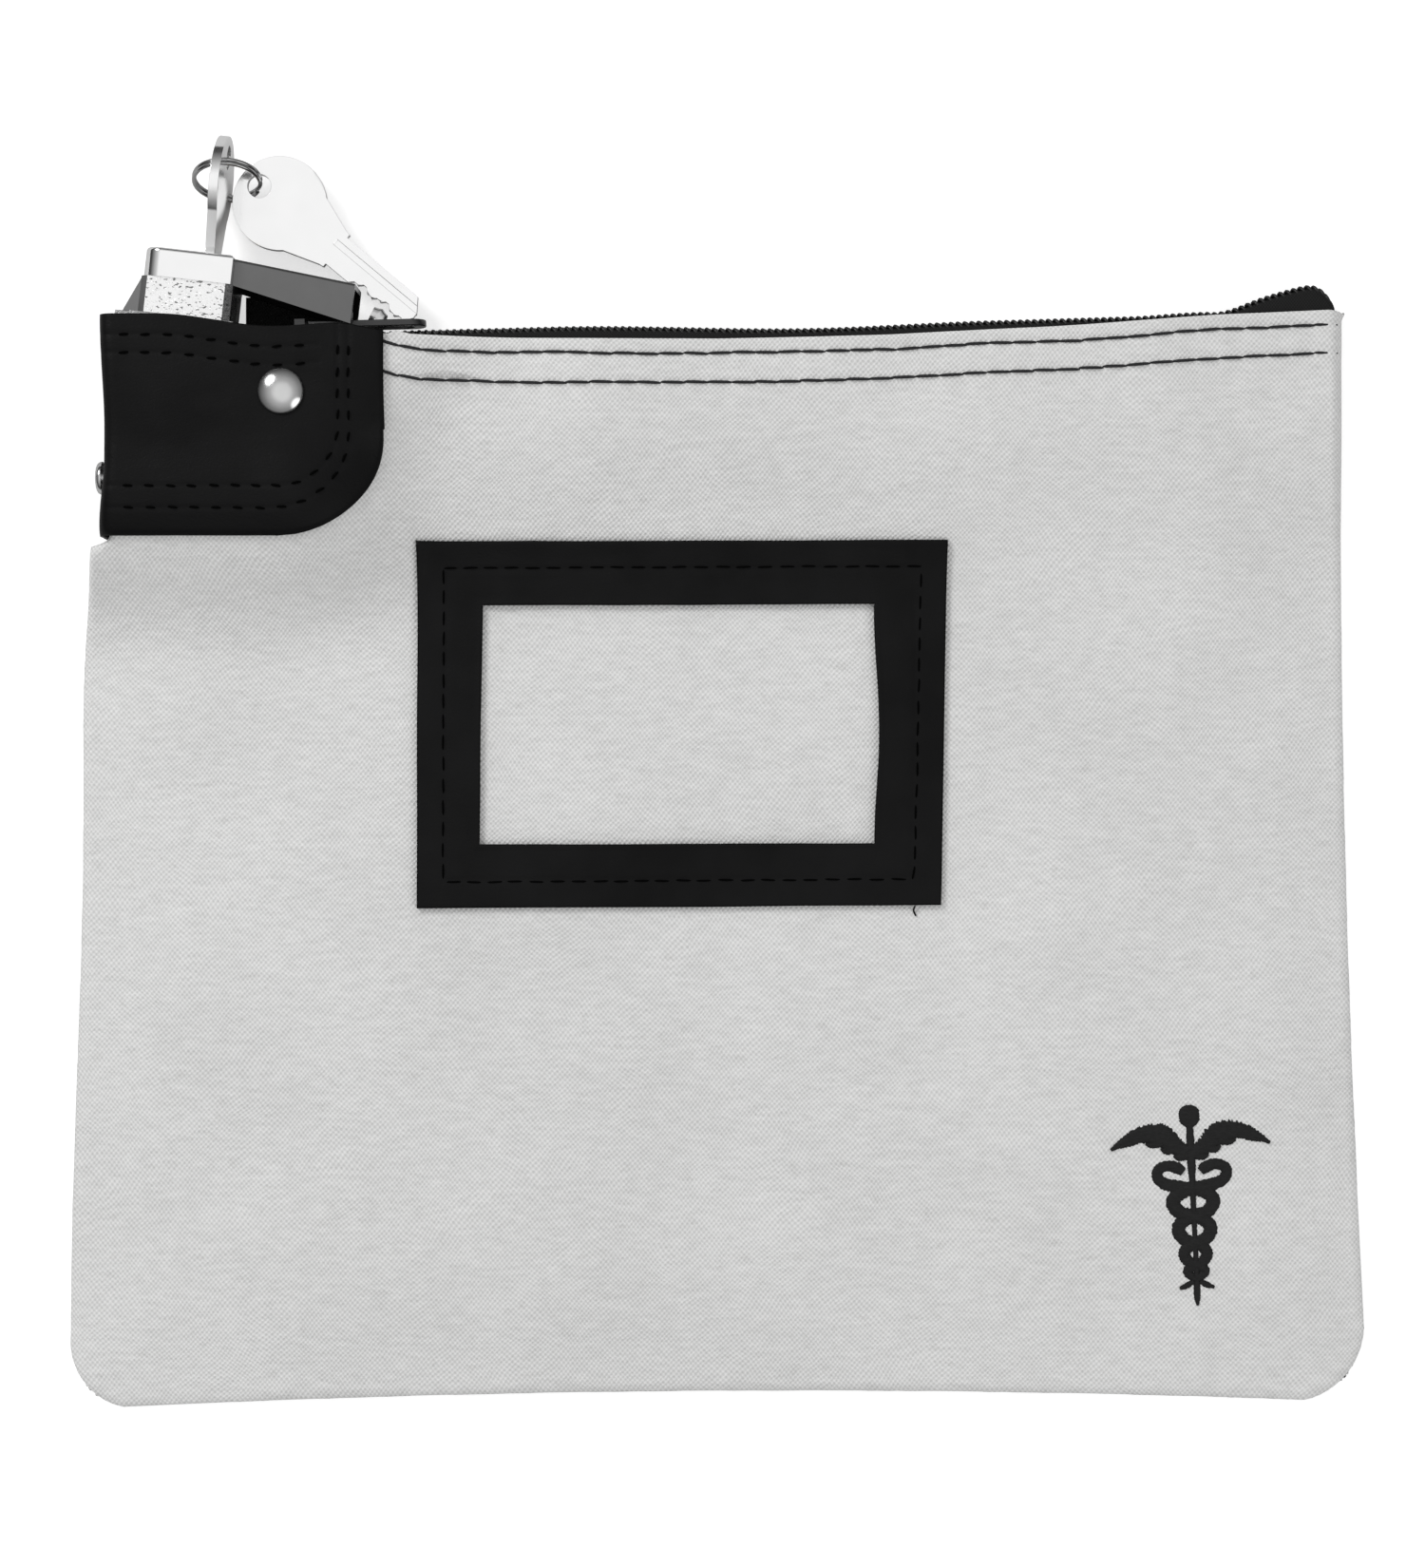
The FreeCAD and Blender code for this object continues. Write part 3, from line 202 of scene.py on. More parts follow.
class Shader:
    """A material with helpers that add nodes to its tree."""

    def __init__(self, name, roughness=0.5, metallic=0.0):
        self.material = bpy.data.materials.new(name)
        self.material.use_nodes = True
        self.tree = self.material.node_tree
        self.surface = self.tree.nodes["Principled BSDF"]
        self.surface.inputs["Roughness"].default_value = roughness
        self.surface.inputs["Metallic"].default_value = metallic
        self.place = self.tree.nodes.new("ShaderNodeTexCoord").outputs["Object"]
        self.height = None

    def add(self, kind, **settings):
        node = self.tree.nodes.new("ShaderNode" + kind)
        for key, value in settings.items():
            setattr(node, key, value)
        return node

    def feed(self, socket, value):
        if isinstance(value, bpy.types.NodeSocket):
            self.tree.links.new(value, socket)
        else:
            socket.default_value = value

    def math(self, operation, *values):
        node = self.add("Math", operation=operation)
        for socket, value in zip(node.inputs, values):
            self.feed(socket, value)
        return node.outputs[0]

    def stretched(self, *scale):
        node = self.add("Mapping")
        self.feed(node.inputs["Vector"], self.place)
        node.inputs["Scale"].default_value = scale
        return node.outputs[0]

    def noise(self, scale, detail=2.0, place=None):
        node = self.add("TexNoise")
        self.feed(node.inputs["Vector"], place or self.place)
        node.inputs["Scale"].default_value = scale
        node.inputs["Detail"].default_value = detail
        return node.outputs["Fac"]

    def cells(self, scale):
        node = self.add("TexVoronoi", feature="SMOOTH_F1")
        self.feed(node.inputs["Vector"], self.place)
        node.inputs["Scale"].default_value = scale
        return node.outputs["Distance"]

    def ramp(self, value, *stops):
        node = self.add("ValToRGB")
        self.feed(node.inputs["Fac"], value)
        fill_ramp(node.color_ramp, stops)
        return node.outputs["Color"]

    def blend(self, share, a, b):
        node = self.add("Mix", data_type="RGBA")
        self.feed(node.inputs["Factor"], share)
        for key, value in (("A", a), ("B", b)):
            socket = [s for s in node.inputs if s.name == key and s.type == "RGBA"][0]
            self.feed(socket, (*value, 1) if isinstance(value, tuple) else value)
        return [s for s in node.outputs if s.type == "RGBA"][0]

    def colour(self, value):
        self.feed(self.surface.inputs["Base Color"], value)

    def rough(self, value):
        self.feed(self.surface.inputs["Roughness"], value)

    def weave(self, place, warp, weft):
        """A plain weave's knots from 0 to 1, a warp apart in X and a weft apart in Y."""
        axes = self.add("SeparateXYZ")
        self.feed(axes.inputs[0], place)
        waves = [self.math("SINE", self.math("MULTIPLY", axes.outputs[axis], 2 * math.pi / length))
                 for axis, length in (("X", warp), ("Y", weft))]
        return self.math("MULTIPLY_ADD", self.math("MULTIPLY", *waves), 0.5, 0.5)

    def tune(self, specular, sheen=0.0):
        self.surface.inputs["Specular IOR Level"].default_value = specular
        self.surface.inputs["Sheen Weight"].default_value = sheen

    def bump(self, height, distance, strength=1.0):
        """Raises the surface by height times distance, over any bump already there."""
        node = self.add("Bump")
        node.inputs["Strength"].default_value = strength
        node.inputs["Distance"].default_value = distance
        self.feed(node.inputs["Height"], height)
        if self.height is not None:
            self.feed(node.inputs["Normal"], self.height)
        self.height = node.outputs["Normal"]
        self.feed(self.surface.inputs["Normal"], self.height)


def canvas_material():
    """Undyed cotton duck: thick round yarns in a plain weave, with slubs, flecks and a soft nap."""
    shader = Shader("canvas", 0.95)
    drift = shader.add("TexNoise")
    drift.inputs["Scale"].default_value = 45
    shader.feed(drift.inputs["Vector"], shader.place)
    shift = shader.add("VectorMath", operation="SCALE")
    shader.feed(shift.inputs[0], drift.outputs["Color"])
    shift.inputs["Scale"].default_value = 4.5 * MM
    moved = shader.add("VectorMath", operation="ADD")
    shader.feed(moved.inputs[0], shader.place)
    shader.feed(moved.inputs[1], shift.outputs[0])
    weave = shader.weave(moved.outputs[0], 1.2 * MM, 1.33 * MM)
    slubs = shader.noise(1.0, 3.0, shader.stretched(260, 900, 260))
    height = shader.math("MULTIPLY_ADD", slubs, 0.9, weave)
    height = shader.math("MULTIPLY_ADD", shader.noise(2600, 2.0), 0.35, height)
    shader.bump(height, 0.2 * MM, 0.9)
    # the colour takes random patches and, as painted shade, the weave's height: darker between the yarns and
    # lighter on their knots
    tone_and_weave_shade = shader.math("MULTIPLY_ADD", shader.noise(22, 4.0), 0.12, shader.math("MULTIPLY", height, 0.22))
    flecks = shader.math("GREATER_THAN", shader.noise(420, 0.0), 0.755)
    base = shader.ramp(tone_and_weave_shade, (0.12, (0.5, 0.5, 0.495)), (0.44, (0.82, 0.82, 0.815)))
    shader.colour(shader.blend(shader.math("MULTIPLY", flecks, 0.1), base, (0.4, 0.39, 0.37)))
    shader.tune(0.15, 0.12)
    shader.surface.inputs["Sheen Roughness"].default_value = 0.6
    return shader.material


def vinyl_material():
    """Black vinyl with a fine leather grain, soft creases and a worn, uneven sheen."""
    shader = Shader("vinyl")
    grain = shader.cells(2100)
    pores = shader.noise(4600, 3.0)
    shader.bump(shader.math("MULTIPLY_ADD", pores, 0.35, grain), 0.06 * MM, 0.6)
    folds = shader.noise(1.0, 5.0, shader.stretched(260, 760, 260))
    creases = shader.math("ABSOLUTE", shader.math("SUBTRACT", folds, 0.5))
    shader.bump(shader.math("MINIMUM", creases, 0.05), 0.7 * MM, 0.4)
    patches = shader.noise(55, 4.0)
    shader.rough(shader.ramp(patches, (0.35, 0.62), (0.68, 0.36)))
    shader.colour(shader.blend(patches, grey(0.0025), (0.0045, 0.0045, 0.0048)))
    shader.tune(0.11)
    return shader.material


def thread_material(name, colour, roughness=0.7, sheen=0.2):
    """Twisted thread: fine slanting strands."""
    shader = Shader(name, roughness)
    wave = shader.add("TexWave", bands_direction="DIAGONAL")
    shader.feed(wave.inputs["Vector"], shader.place)
    wave.inputs["Scale"].default_value = 1400
    wave.inputs["Distortion"].default_value = 2.0
    shader.bump(wave.outputs["Fac"], 0.06 * MM, 0.8)
    shader.colour(shader.blend(shader.noise(900, 2.0), colour, tuple(c * 1.9 for c in colour)))
    shader.tune(sheen, 0.5 * sheen)
    return shader.material


def embroidery_material():
    """Satin stitches of dark thread: fine ridges with a dull sheen."""
    shader = Shader("embroidery", 0.62)
    ridges = shader.noise(1.0, 2.0, shader.stretched(900, 3400, 900))
    shader.bump(ridges, 0.12 * MM, 0.9)
    # painted light and shade: the thread's colour is lighter on the ridges' tops and darker between them
    shader.colour(shader.blend(ridges, grey(0.006), grey(0.02)))
    shader.tune(0.15, 0.04)
    return shader.material


def tape_material():
    """Black polyester tape with a fine plain weave."""
    shader = Shader("tape", 0.85)
    weave = shader.weave(shader.place, 0.7 * MM, 0.9 * MM)
    shader.bump(weave, 0.12 * MM, 0.8)
    # painted light and shade: the weave's knots are lighter and the hollows between them darker
    shader.colour(shader.blend(weave, grey(0.006), grey(0.016)))
    shader.tune(0.2)
    return shader.material


def nylon_material():
    """Black nylon monofilament of the zipper's coil."""
    shader = Shader("coil_nylon")
    dust = shader.noise(2200, 3.0)
    shader.rough(shader.math("MULTIPLY_ADD", dust, 0.25, 0.26))
    shader.colour(shader.blend(dust, grey(0.006), grey(0.018)))
    return shader.material


def enamel_material():
    """Black enamel over die-cast metal, rubbed and lightly scratched."""
    shader = Shader("black_enamel")
    scratches = shader.noise(1.0, 4.0, shader.stretched(300, 4200, 300))
    shader.rough(shader.math("MULTIPLY_ADD", scratches, 0.3, 0.16))
    shader.bump(shader.noise(900, 3.0), 0.04 * MM, 0.6)
    chips = shader.math("GREATER_THAN", shader.noise(700, 5.0), 0.70)
    shader.colour(shader.blend(shader.math("MULTIPLY", chips, 0.5), (0.012, 0.012, 0.013), grey(0.16)))
    shader.surface.inputs["Coat Weight"].default_value = 0.3
    return shader.material


def metal_material(name, colour, roughness, scratch, wear, pits=0.0, stretch=(500, 500, 500), specks=0.0):
    """Bare or plated metal: uneven polish, fine scratches along stretch's low axis, and casting pits."""
    shader = Shader(name, metallic=1.0)
    polish = shader.noise(160, 5.0)
    lines = shader.noise(1.0, 4.0, shader.stretched(*stretch))
    uneven = shader.math("MULTIPLY_ADD", polish, 0.6, shader.math("MULTIPLY", lines, 0.6))
    shader.rough(shader.math("MULTIPLY_ADD", uneven, scratch, max(0.02, roughness - 0.6 * scratch)))
    shader.bump(lines, 0.02 * MM, 0.5)
    if pits:
        holes = shader.ramp(shader.noise(1500, 3.0), (0.36, 0.0), (0.5, 1.0))
        shader.bump(holes, pits, 1.0)
    tint = shader.blend(polish, tuple(c * w for c, w in zip(colour, wear)), colour)
    if specks:
        dots = shader.math("GREATER_THAN", shader.noise(1.0, 2.0, shader.stretched(1000, 1700, 1000)), 0.62)
        tint = shader.blend(shader.math("MULTIPLY", dots, specks), tint, grey(0.05))
    shader.colour(tint)
    return shader.material


canvas = canvas_material()
vinyl = vinyl_material()
dark_thread = thread_material("thread_dark", (0.012, 0.012, 0.013))
# black thread, partly painted shade: it is set darker than the vinyl so the stitches also stand in for the
# shade in their needle holes and dents
black_thread_and_hole_shade = thread_material("thread_black_and_hole_shade", grey(0.0008), 0.8, 0.02)
embroidery = embroidery_material()
tape = tape_material()
nylon = nylon_material()
enamel = enamel_material()
cap_chrome = metal_material("cap_chrome", grey(0.92), 0.1, 0.08, grey(0.92))
hood_metal = metal_material("hood_metal", grey(0.16), 0.3, 0.15, grey(0.82), stretch=(400, 2600, 400))
# painted shade: near-black metal for the hood's inner faces, standing in for the shade in its hollow
hood_inside_painted_shade = metal_material("hood_inside_painted_shade", grey(0.012), 0.6, 0.1, grey(0.5))
cast_metal = metal_material("cast_metal", grey(0.92), 0.25, 0.15, grey(0.92), 0.02 * MM, specks=0.8)
# painted shade: a darker copy of the barrel's cast metal for its set-back flare facet
facet_painted_shade = metal_material("facet_painted_shade", grey(0.2), 0.35, 0.15, grey(0.85))
housing_metal = metal_material("housing_metal", grey(0.4), 0.4, 0.2, grey(0.8), 0.05 * MM)
key_metal = metal_material("key_nickel", grey(0.93), 0.16, 0.12, grey(0.92), stretch=(2400, 500, 500))
ring_metal = metal_material("ring_steel", grey(0.5), 0.16, 0.15, grey(0.7))
rivet_metal = metal_material("rivet_nickel", grey(0.66), 0.16, 0.12, grey(0.8))
brass = metal_material("brass", (0.72, 0.55, 0.27), 0.25, 0.15, (0.8, 0.75, 0.7))
spring_metal = metal_material("spring_steel", (0.55, 0.55, 0.56), 0.25, 0.15, grey(0.8))


# ---- the camera, lights and floor

def make_camera():
    """Straight above the bag, a little right of and above its middle."""
    camera = bpy.data.cameras.new("camera")
    camera.sensor_width = 36
    camera.lens = 76.8
    item = add_item("camera", camera)
    item.location = (-1.4 * MM, 18.4 * MM, 800 * MM)
    bpy.context.scene.camera = item


def make_lamp(name, place, size, power):
    """A round lamp that faces the bag's middle."""
    lamp = bpy.data.lights.new(name, "AREA")
    lamp.shape = "DISK"
    lamp.size = size
    lamp.energy = power
    item = add_item(name, lamp)
    item.location = place
    item.rotation_euler = (-Vector(place)).to_track_quat("-Z", "Y").to_euler()


def make_world():
    """A pale studio with a bright panel overhead; reflections also find a dark band round the horizon."""
    world = bpy.data.worlds.new("studio")
    bpy.context.scene.world = world
    world.use_nodes = True
    nodes, links = world.node_tree.nodes, world.node_tree.links
    place = nodes.new("ShaderNodeTexCoord")
    axes = nodes.new("ShaderNodeSeparateXYZ")
    links.new(place.outputs["Generated"], axes.inputs[0])

    def sky(stops):
        ramp = nodes.new("ShaderNodeValToRGB")
        links.new(axes.outputs["Z"], ramp.inputs["Fac"])
        fill_ramp(ramp.color_ramp, stops)
        return ramp.outputs["Color"]

    shown = nodes.new("ShaderNodeMix")
    shown.data_type = "RGBA"
    path = nodes.new("ShaderNodeLightPath")
    links.new(path.outputs["Is Glossy Ray"], shown.inputs["Factor"])
    colours = [socket for socket in shown.inputs if socket.type == "RGBA"]
    links.new(sky(((0.0, 0.7), (0.35, 0.9), (0.85, 0.9), (0.97, 1.2))), colours[0])
    links.new(sky(((0.0, 0.06), (0.3, 0.1), (0.62, 0.45), (0.86, 0.9), (0.96, 1.45))), colours[1])
    background = nodes["Background"]
    links.new([socket for socket in shown.outputs if socket.type == "RGBA"][0], background.inputs["Color"])
    background.inputs["Strength"].default_value = 0.7


def make_floor():
    """A plain floor that shows white to the camera and keeps soft shadows."""
    half = 3.0
    mesh = bpy.data.meshes.new("floor")
    corners = [(-half, -half, 0), (half, -half, 0), (half, half, 0), (-half, half, 0)]
    mesh.from_pydata(corners, [], [(0, 1, 2, 3)])
    floor = add_item("floor", mesh)
    floor.location.z = -0.15 * MM
    material = bpy.data.materials.new("floor_white")
    material.use_nodes = True
    nodes, links = material.node_tree.nodes, material.node_tree.links
    nodes.clear()
    diffuse, glow, path, strength, both, out = [nodes.new("ShaderNode" + kind) for kind in (
        "BsdfDiffuse", "Emission", "LightPath", "Math", "AddShader", "OutputMaterial")]
    diffuse.inputs["Color"].default_value = (*grey(0.6), 1)
    strength.operation = "MULTIPLY"
    strength.inputs[1].default_value = 0.62
    for source, socket in ((path.outputs["Is Camera Ray"], strength.inputs[0]),
                           (strength.outputs[0], glow.inputs["Strength"]),
                           (diffuse.outputs[0], both.inputs[0]),
                           (glow.outputs[0], both.inputs[1]),
                           (both.outputs[0], out.inputs["Surface"])):
        links.new(source, socket)
    mesh.materials.append(material)


bpy.context.scene.view_settings.view_transform = "Standard"
make_camera()
make_world()
make_floor()
make_lamp("key_light", (-0.95, 0.95, 1.0), 0.6, 11)
make_lamp("fill_light", (1.2, -0.9, 1.2), 1.2, 5)


# ---- the outline of the cloth

HEIGHTS = [h * 0.45 * MM for h in range(3, 58)]


def outermost(tree, middle, angle):
    """The outermost point of a CAD cloth at an angle round its middle, seen from above."""
    way = Vector((math.cos(angle), math.sin(angle), 0))
    best = None
    for height in HEIGHTS:
        start = Vector((middle.x, middle.y, height)) + way * 0.35
        hit = tree.ray_cast(start, -way)[0]
        if hit is not None:
            reach = (hit - start).length
            if best is None or reach < best[0]:
                best = (reach, hit)
    return Vector((best[1].x, best[1].y))


class Outline:
    """The cloth's outline as four sides between its corners, each sampled by length."""

    def __init__(self, tree, count=1100):
        middle = Vector(((cloth_box[0].x + cloth_box[1].x) / 2, 0))
        points = [outermost(tree, middle, 2 * math.pi * i / count) for i in range(count)]
        corners = [max(range(count), key=lambda i: points[i].dot(Vector(way)))
                   for way in ((-1, -1), (1, -1), (1, 1), (-1, 1))]
        self.sides = {}
        for k, (side, order) in enumerate((("bottom", 1), ("right", 1), ("top", -1), ("left", -1))):
            first, last = corners[k], corners[(k + 1) % 4]
            run = [points[i % count] for i in range(first, last + 1 if last > first else last + count + 1)]
            self.sides[side] = Path(run[::order])
        self.sewn = kdtree.KDTree(3000)
        for k in range(3000):
            side = ("left", "bottom", "right")[k % 3]
            point = self.at(side, (k // 3) / 999)
            self.sewn.insert((point.x, point.y, 0), k)
        self.sewn.balance()

    def at(self, side, share):
        path = self.sides[side]
        return path.at(share * path.lengths[-1])[0]

    def inside(self, u, v):
        """A point of the cloth: u from left to right, v from the bottom seam to the mouth."""
        bottom, top = self.at("bottom", u), self.at("top", u)
        left, right = self.at("left", v), self.at("right", v)
        corners = ((1 - u) * (1 - v) * self.at("bottom", 0) + u * (1 - v) * self.at("bottom", 1)
                   + (1 - u) * v * self.at("top", 0) + u * v * self.at("top", 1))
        return (1 - v) * bottom + v * top + (1 - u) * left + u * right - corners

    def to_seam(self, x, y):
        return self.sewn.find((x, y, 0))[2]


outline = Outline(front_tree)


def hem_edge(x):
    """How far the mouth's edge reaches in Y at x."""
    left, right = outline.at("top", 0).x, outline.at("top", 1).x
    share = (x - left) / (right - left)
    for _ in range(4):
        point = outline.at("top", max(0.0, min(1.0, share)))
        share += (x - point.x) / (right - left)
    return outline.at("top", max(0.0, min(1.0, share))).y


def along(knots, x):
    """A soft line through a few knots, each an x and a value in millimetres."""
    x = x / MM
    for (a, low), (b, high) in zip(knots, knots[1:]):
        if x < b:
            return (low + (high - low) * smooth((x - a) / (b - a))) * MM
    return knots[-1][1] * MM


def mouth_shift(x):
    """How far the sewn mouth wanders from its even line: it sags in the middle and rises at the right."""
    return along(((-80, -0.65), (10, -0.6), (75, -0.2), (125, 0.75), (150, 0.9)), x)


def cover_top(x):
    """The cover's upper edge: high over the lock, and dipped where the hood stands clear of it."""
    return cover_box[1].y + along(((-130, 0.8), (-103, -2.1), (-88, -1.4), (-77, -2.9)), x)


HEM_SAMPLES = 300
cloth_width = cloth_box[1].x - cloth_box[0].x
hem_samples = [hem_edge(cloth_box[0].x + cloth_width * i / HEM_SAMPLES) for i in range(HEM_SAMPLES + 1)]


def even_mouth(x):
    """The mouth's even line, without its wandering."""
    place = max(0.0, min(HEM_SAMPLES - 0.001, (x - cloth_box[0].x) / cloth_width * HEM_SAMPLES))
    low = int(place)
    return hem_samples[low] + (hem_samples[low + 1] - hem_samples[low]) * (place - low)


def mouth(x):
    return even_mouth(x) + mouth_shift(x)


def mouth_drop(x):
    """How far the cloth's edge lies from the even line: under the cover it stays below the cover's edge."""
    if x > cover_box[1].x + 2 * MM:
        return mouth_shift(x)
    return min(mouth_shift(x), cover_top(x) - 1.2 * MM - even_mouth(x))


# ---- the height of the front cloth

SEAM_MID = 1.2 * MM
HEM_WIDTH = 10.9 * MM
STITCH_ROWS = (2.9 * MM, 9.7 * MM)


def cad_height(tree, x, y, down=True):
    """Height of a CAD piece's outer side, taken a little further in where the place is past its edge."""
    for step in range(12):
        pull = 1 - step * 0.006
        start = Vector((x * pull, y * pull, 0.1 if down else -0.05))
        hit = tree.ray_cast(start, -UP if down else UP)[0]
        if hit is not None:
            return hit.z
    return cloth_box[0].z


def stitch_wander(row, x):
    """Small wanderings of a hand-guided row of stitches."""
    return 0.35 * MM * wavy(x, 0, 26, 3 + row) + 0.15 * MM * wavy(x, 0, 8, 13 + row)


def front_height(x, y):
    """Height of the front cloth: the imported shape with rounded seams, soft waves and the folded hem."""
    level = cad_height(front_tree, x, y)
    seam = outline.to_seam(x, y)
    clear_of_lock = smooth((x + 122 * MM) / (20 * MM))
    round_off = 2.6 * MM + 0.22 * max(0.0, level - 3 * MM) * clear_of_lock
    share = max(0.0, min(1.0, seam / round_off))
    level = SEAM_MID + (level - SEAM_MID) * math.sqrt(1 - (1 - share) ** 2)
    near_lock = smooth((cover_box[1].x + 14 * MM - x) / (16 * MM)) * smooth((y - 40 * MM) / (16 * MM))
    free = smooth(seam / (26 * MM)) * (1 - near_lock)
    waves = 0.75 * wavy(x + 0.35 * y, y, 74, 1) + 0.45 * wavy(x - 0.5 * y, y * 1.3, 38, 2)
    waves += 0.10 * wavy(x, y, 13, 4)
    down = mouth(x) - y
    level += waves * MM * free * smooth((down + 6 * MM) / (34 * MM))
    hem = smooth((HEM_WIDTH - down) / (0.9 * MM))
    level += 0.3 * MM * (hem - 1) * smooth((26 * MM - down) / (12 * MM))
    for row, depth in enumerate(STITCH_ROWS):
        away = abs(down - depth - stitch_wander(row, x)) / (1.1 * MM)
        level -= 0.22 * MM * math.exp(-away * away)
    pucker = math.exp(-((down - STITCH_ROWS[1]) / (5 * MM)) ** 2)
    level += 0.12 * MM * wavy(x, y * 0.25, 5.5, 6) * pucker
    rim = math.exp(-(seam / (7 * MM)) ** 2)
    level += 0.25 * MM * wavy(x + y, x - y, 9, 8) * rim * share
    return level


def dense(count, pull):
    """Shares from 0 to 1 that crowd at both ends."""
    shares = [k / (count - 1) for k in range(count)]
    return [s - pull * math.sin(2 * math.pi * s) / (2 * math.pi) for s in shares]


def cloth_points(across, upward, height):
    """Points of a cloth, row by row, from its bottom seam to its edge at the mouth."""
    verts = []
    for v in upward:
        for u in across:
            point = outline.inside(u, v)
            y = point.y + mouth_drop(point.x) * smooth((v - 0.86) / 0.14)
            verts.append(on(height, point.x, y))
    return verts


def folded_in(edge, steps):
    """The edge's points moved by each (y, z) step, and drawn in towards the middle at the right end."""
    tuck = 0.007
    return [p + Vector((-tuck * max(0.0, p.x), y, z)) for y, z in steps for p in edge]


def back_height(x, y):
    level = cad_height(back_tree, x, y, False)
    seam = outline.to_seam(x, y)
    share = max(0.0, min(1.0, seam / (1.6 * MM)))
    level = SEAM_MID + (level - SEAM_MID) * math.sqrt(1 - (1 - share) ** 2)
    down = mouth(x) - y
    hem = smooth((HEM_WIDTH - down) / (0.9 * MM))
    level += 0.25 * MM * hem * smooth((cloth_box[1].x - x) / (20 * MM))
    quiet = smooth(seam / (24 * MM)) * smooth(down / (30 * MM))
    level += max(0.0, 0.5 * wavy(x, y, 60, 21)) * MM * quiet
    return level


def half_turn(steps):
    return [math.pi * k / steps for k in range(1, steps + 1)]


def make_cloth(name, node, columns, rows, height, steps, order):
    """A cloth whose edge at the mouth is folded in by steps; order -1 turns its faces over."""
    across, upward = dense(columns, 0.8), dense(rows, 0.75)
    verts = cloth_points(across, upward, height)
    verts += folded_in(verts[-len(across):], steps)
    faces = [face[::order] for face in grid_faces(len(upward) + len(steps), len(across))]
    piece = make_piece(name, verts, faces, "bag", "canvas", canvas)
    thicken(piece, 0.5 * MM)
    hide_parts(node)
    return piece


def make_front():
    """The front cloth, from its side and bottom seams to the folded hem at the mouth."""
    fold = 0.62 * MM
    steps = [(fold * math.sin(angle), -fold * (1 - math.cos(angle))) for angle in half_turn(6)]
    steps += [(-k * 3.0 * MM, -2 * fold) for k in range(1, 4)]
    return make_cloth("front_cloth", "canvas_front_panel", 230, 190, front_height, steps, 1)


def make_back():
    """The back cloth, flat on the rest surface, lifted over the cover's flap and up to the zipper."""
    fold = 0.5 * MM
    steps = [(fold * math.sin(angle) - fold, fold * (1 - math.cos(angle))) for angle in half_turn(5)]
    return make_cloth("back_cloth", "canvas_back_panel", 200, 170, back_height, steps, -1)


# ---- stitches

def stitch(a, b, radius, side):
    """One stitch as a capsule that dips into the cloth at both ends; side is -1 on the underside."""
    points, radii = [], []
    steps = 7
    for k in range(steps):
        share = k / (steps - 1)
        lift = math.sin(math.pi * share) ** 0.3 if 0 < k < steps - 1 else 0.0
        points.append(a.lerp(b, share) + UP * side * radius * (1.15 * lift - 0.3))
        radii.append(radius * (0.6 + 0.4 * lift))
    return tube(points, radii, 6)


def stitch_row(name, route, height, pitch, gap, radius, slot, lean=0.0, side=1):
    """Stitches along a route of (x, y) points, lying on height(x, y); side is -1 on the underside."""
    path = Path(route)
    total = path.lengths[-1]
    verts, faces = [], []
    place = 0.4 * MM
    rng = random.Random(name)
    while place + 0.4 * pitch < total:
        ends = []
        for length, way in ((place, 1), (min(place + pitch - gap, total - 0.1 * MM), -1)):
            spot, run = path.at(length)
            if way > 0:
                over = Vector((-run.y, run.x))
            spot = spot + way * over * (lean + rng.uniform(-0.12, 0.12) * MM)
            ends.append(on(height, *spot))
        add_part(verts, faces, stitch(*ends, radius, side))
        place += pitch * rng.uniform(0.94, 1.06)
    make_piece(name, verts, faces, "bag", slot, dark_thread if slot == "canvas" else black_thread_and_hole_shade)


def hem_route(depth, row):
    left, right = cover_box[1].x - 8 * MM, cloth_box[1].x
    count = 160
    route = []
    for k in range(count):
        x = left + (right - left) * k / (count - 1)
        y = mouth(x) - depth
        over_cloth = front_tree.ray_cast(Vector((x, y, 0.1)), -UP)[0] is not None
        if over_cloth and outline.to_seam(x, y) > 0.4 * MM:
            route.append(Vector((x, y - stitch_wander(row, x))))
    return route


def make_hem_stitches():
    for row, depth in enumerate(STITCH_ROWS):
        route = hem_route(depth, row)
        stitch_row(f"hem_stitches_{row}", route, front_height,
                   5.5 * MM, -0.25 * MM, 0.37 * MM, "canvas", 0.06 * MM)
        stitch_row(f"back_hem_stitches_{row}", route, back_height,
                   5.4 * MM, 0.5 * MM, 0.24 * MM, "canvas", 0.1 * MM, side=-1)


# ---- the vinyl corner cover

COVER_ROUND = 25 * MM
COVER_THICK = 1.1 * MM
COVER_GAP = 0.25 * MM
COVER_STITCH = (5.0 * MM, 2.9 * MM)  # pitch and gap
# Two rows of stitches: how far in from the right edge, and from the lower edge.
COVER_ROWS = ((8.0 * MM, 6.3 * MM), (10.5 * MM, 11.4 * MM))
TOP_ROWS = (4.8 * MM, 9.0 * MM)
TOP_ROWS_END = -92 * MM


def cover_inset(x, y):
    """Distance in from the cover's free edges, and which is near: 0 the right one, 1 the lower one."""
    right, low = cover_box[1].x, cover_box[0].y
    from_right, from_low = right - x, y - low
    if from_right < COVER_ROUND and from_low < COVER_ROUND:
        a, b = COVER_ROUND - from_right, COVER_ROUND - from_low
        return COVER_ROUND - math.hypot(a, b), math.atan2(b, a) / (math.pi / 2)
    return (from_right, 0.0) if from_right < from_low else (from_low, 1.0)


def seam_groove(away):
    """The dent that a row of stitches pulls into vinyl."""
    return -0.13 * MM * math.exp(-(away / (0.6 * MM)) ** 2)


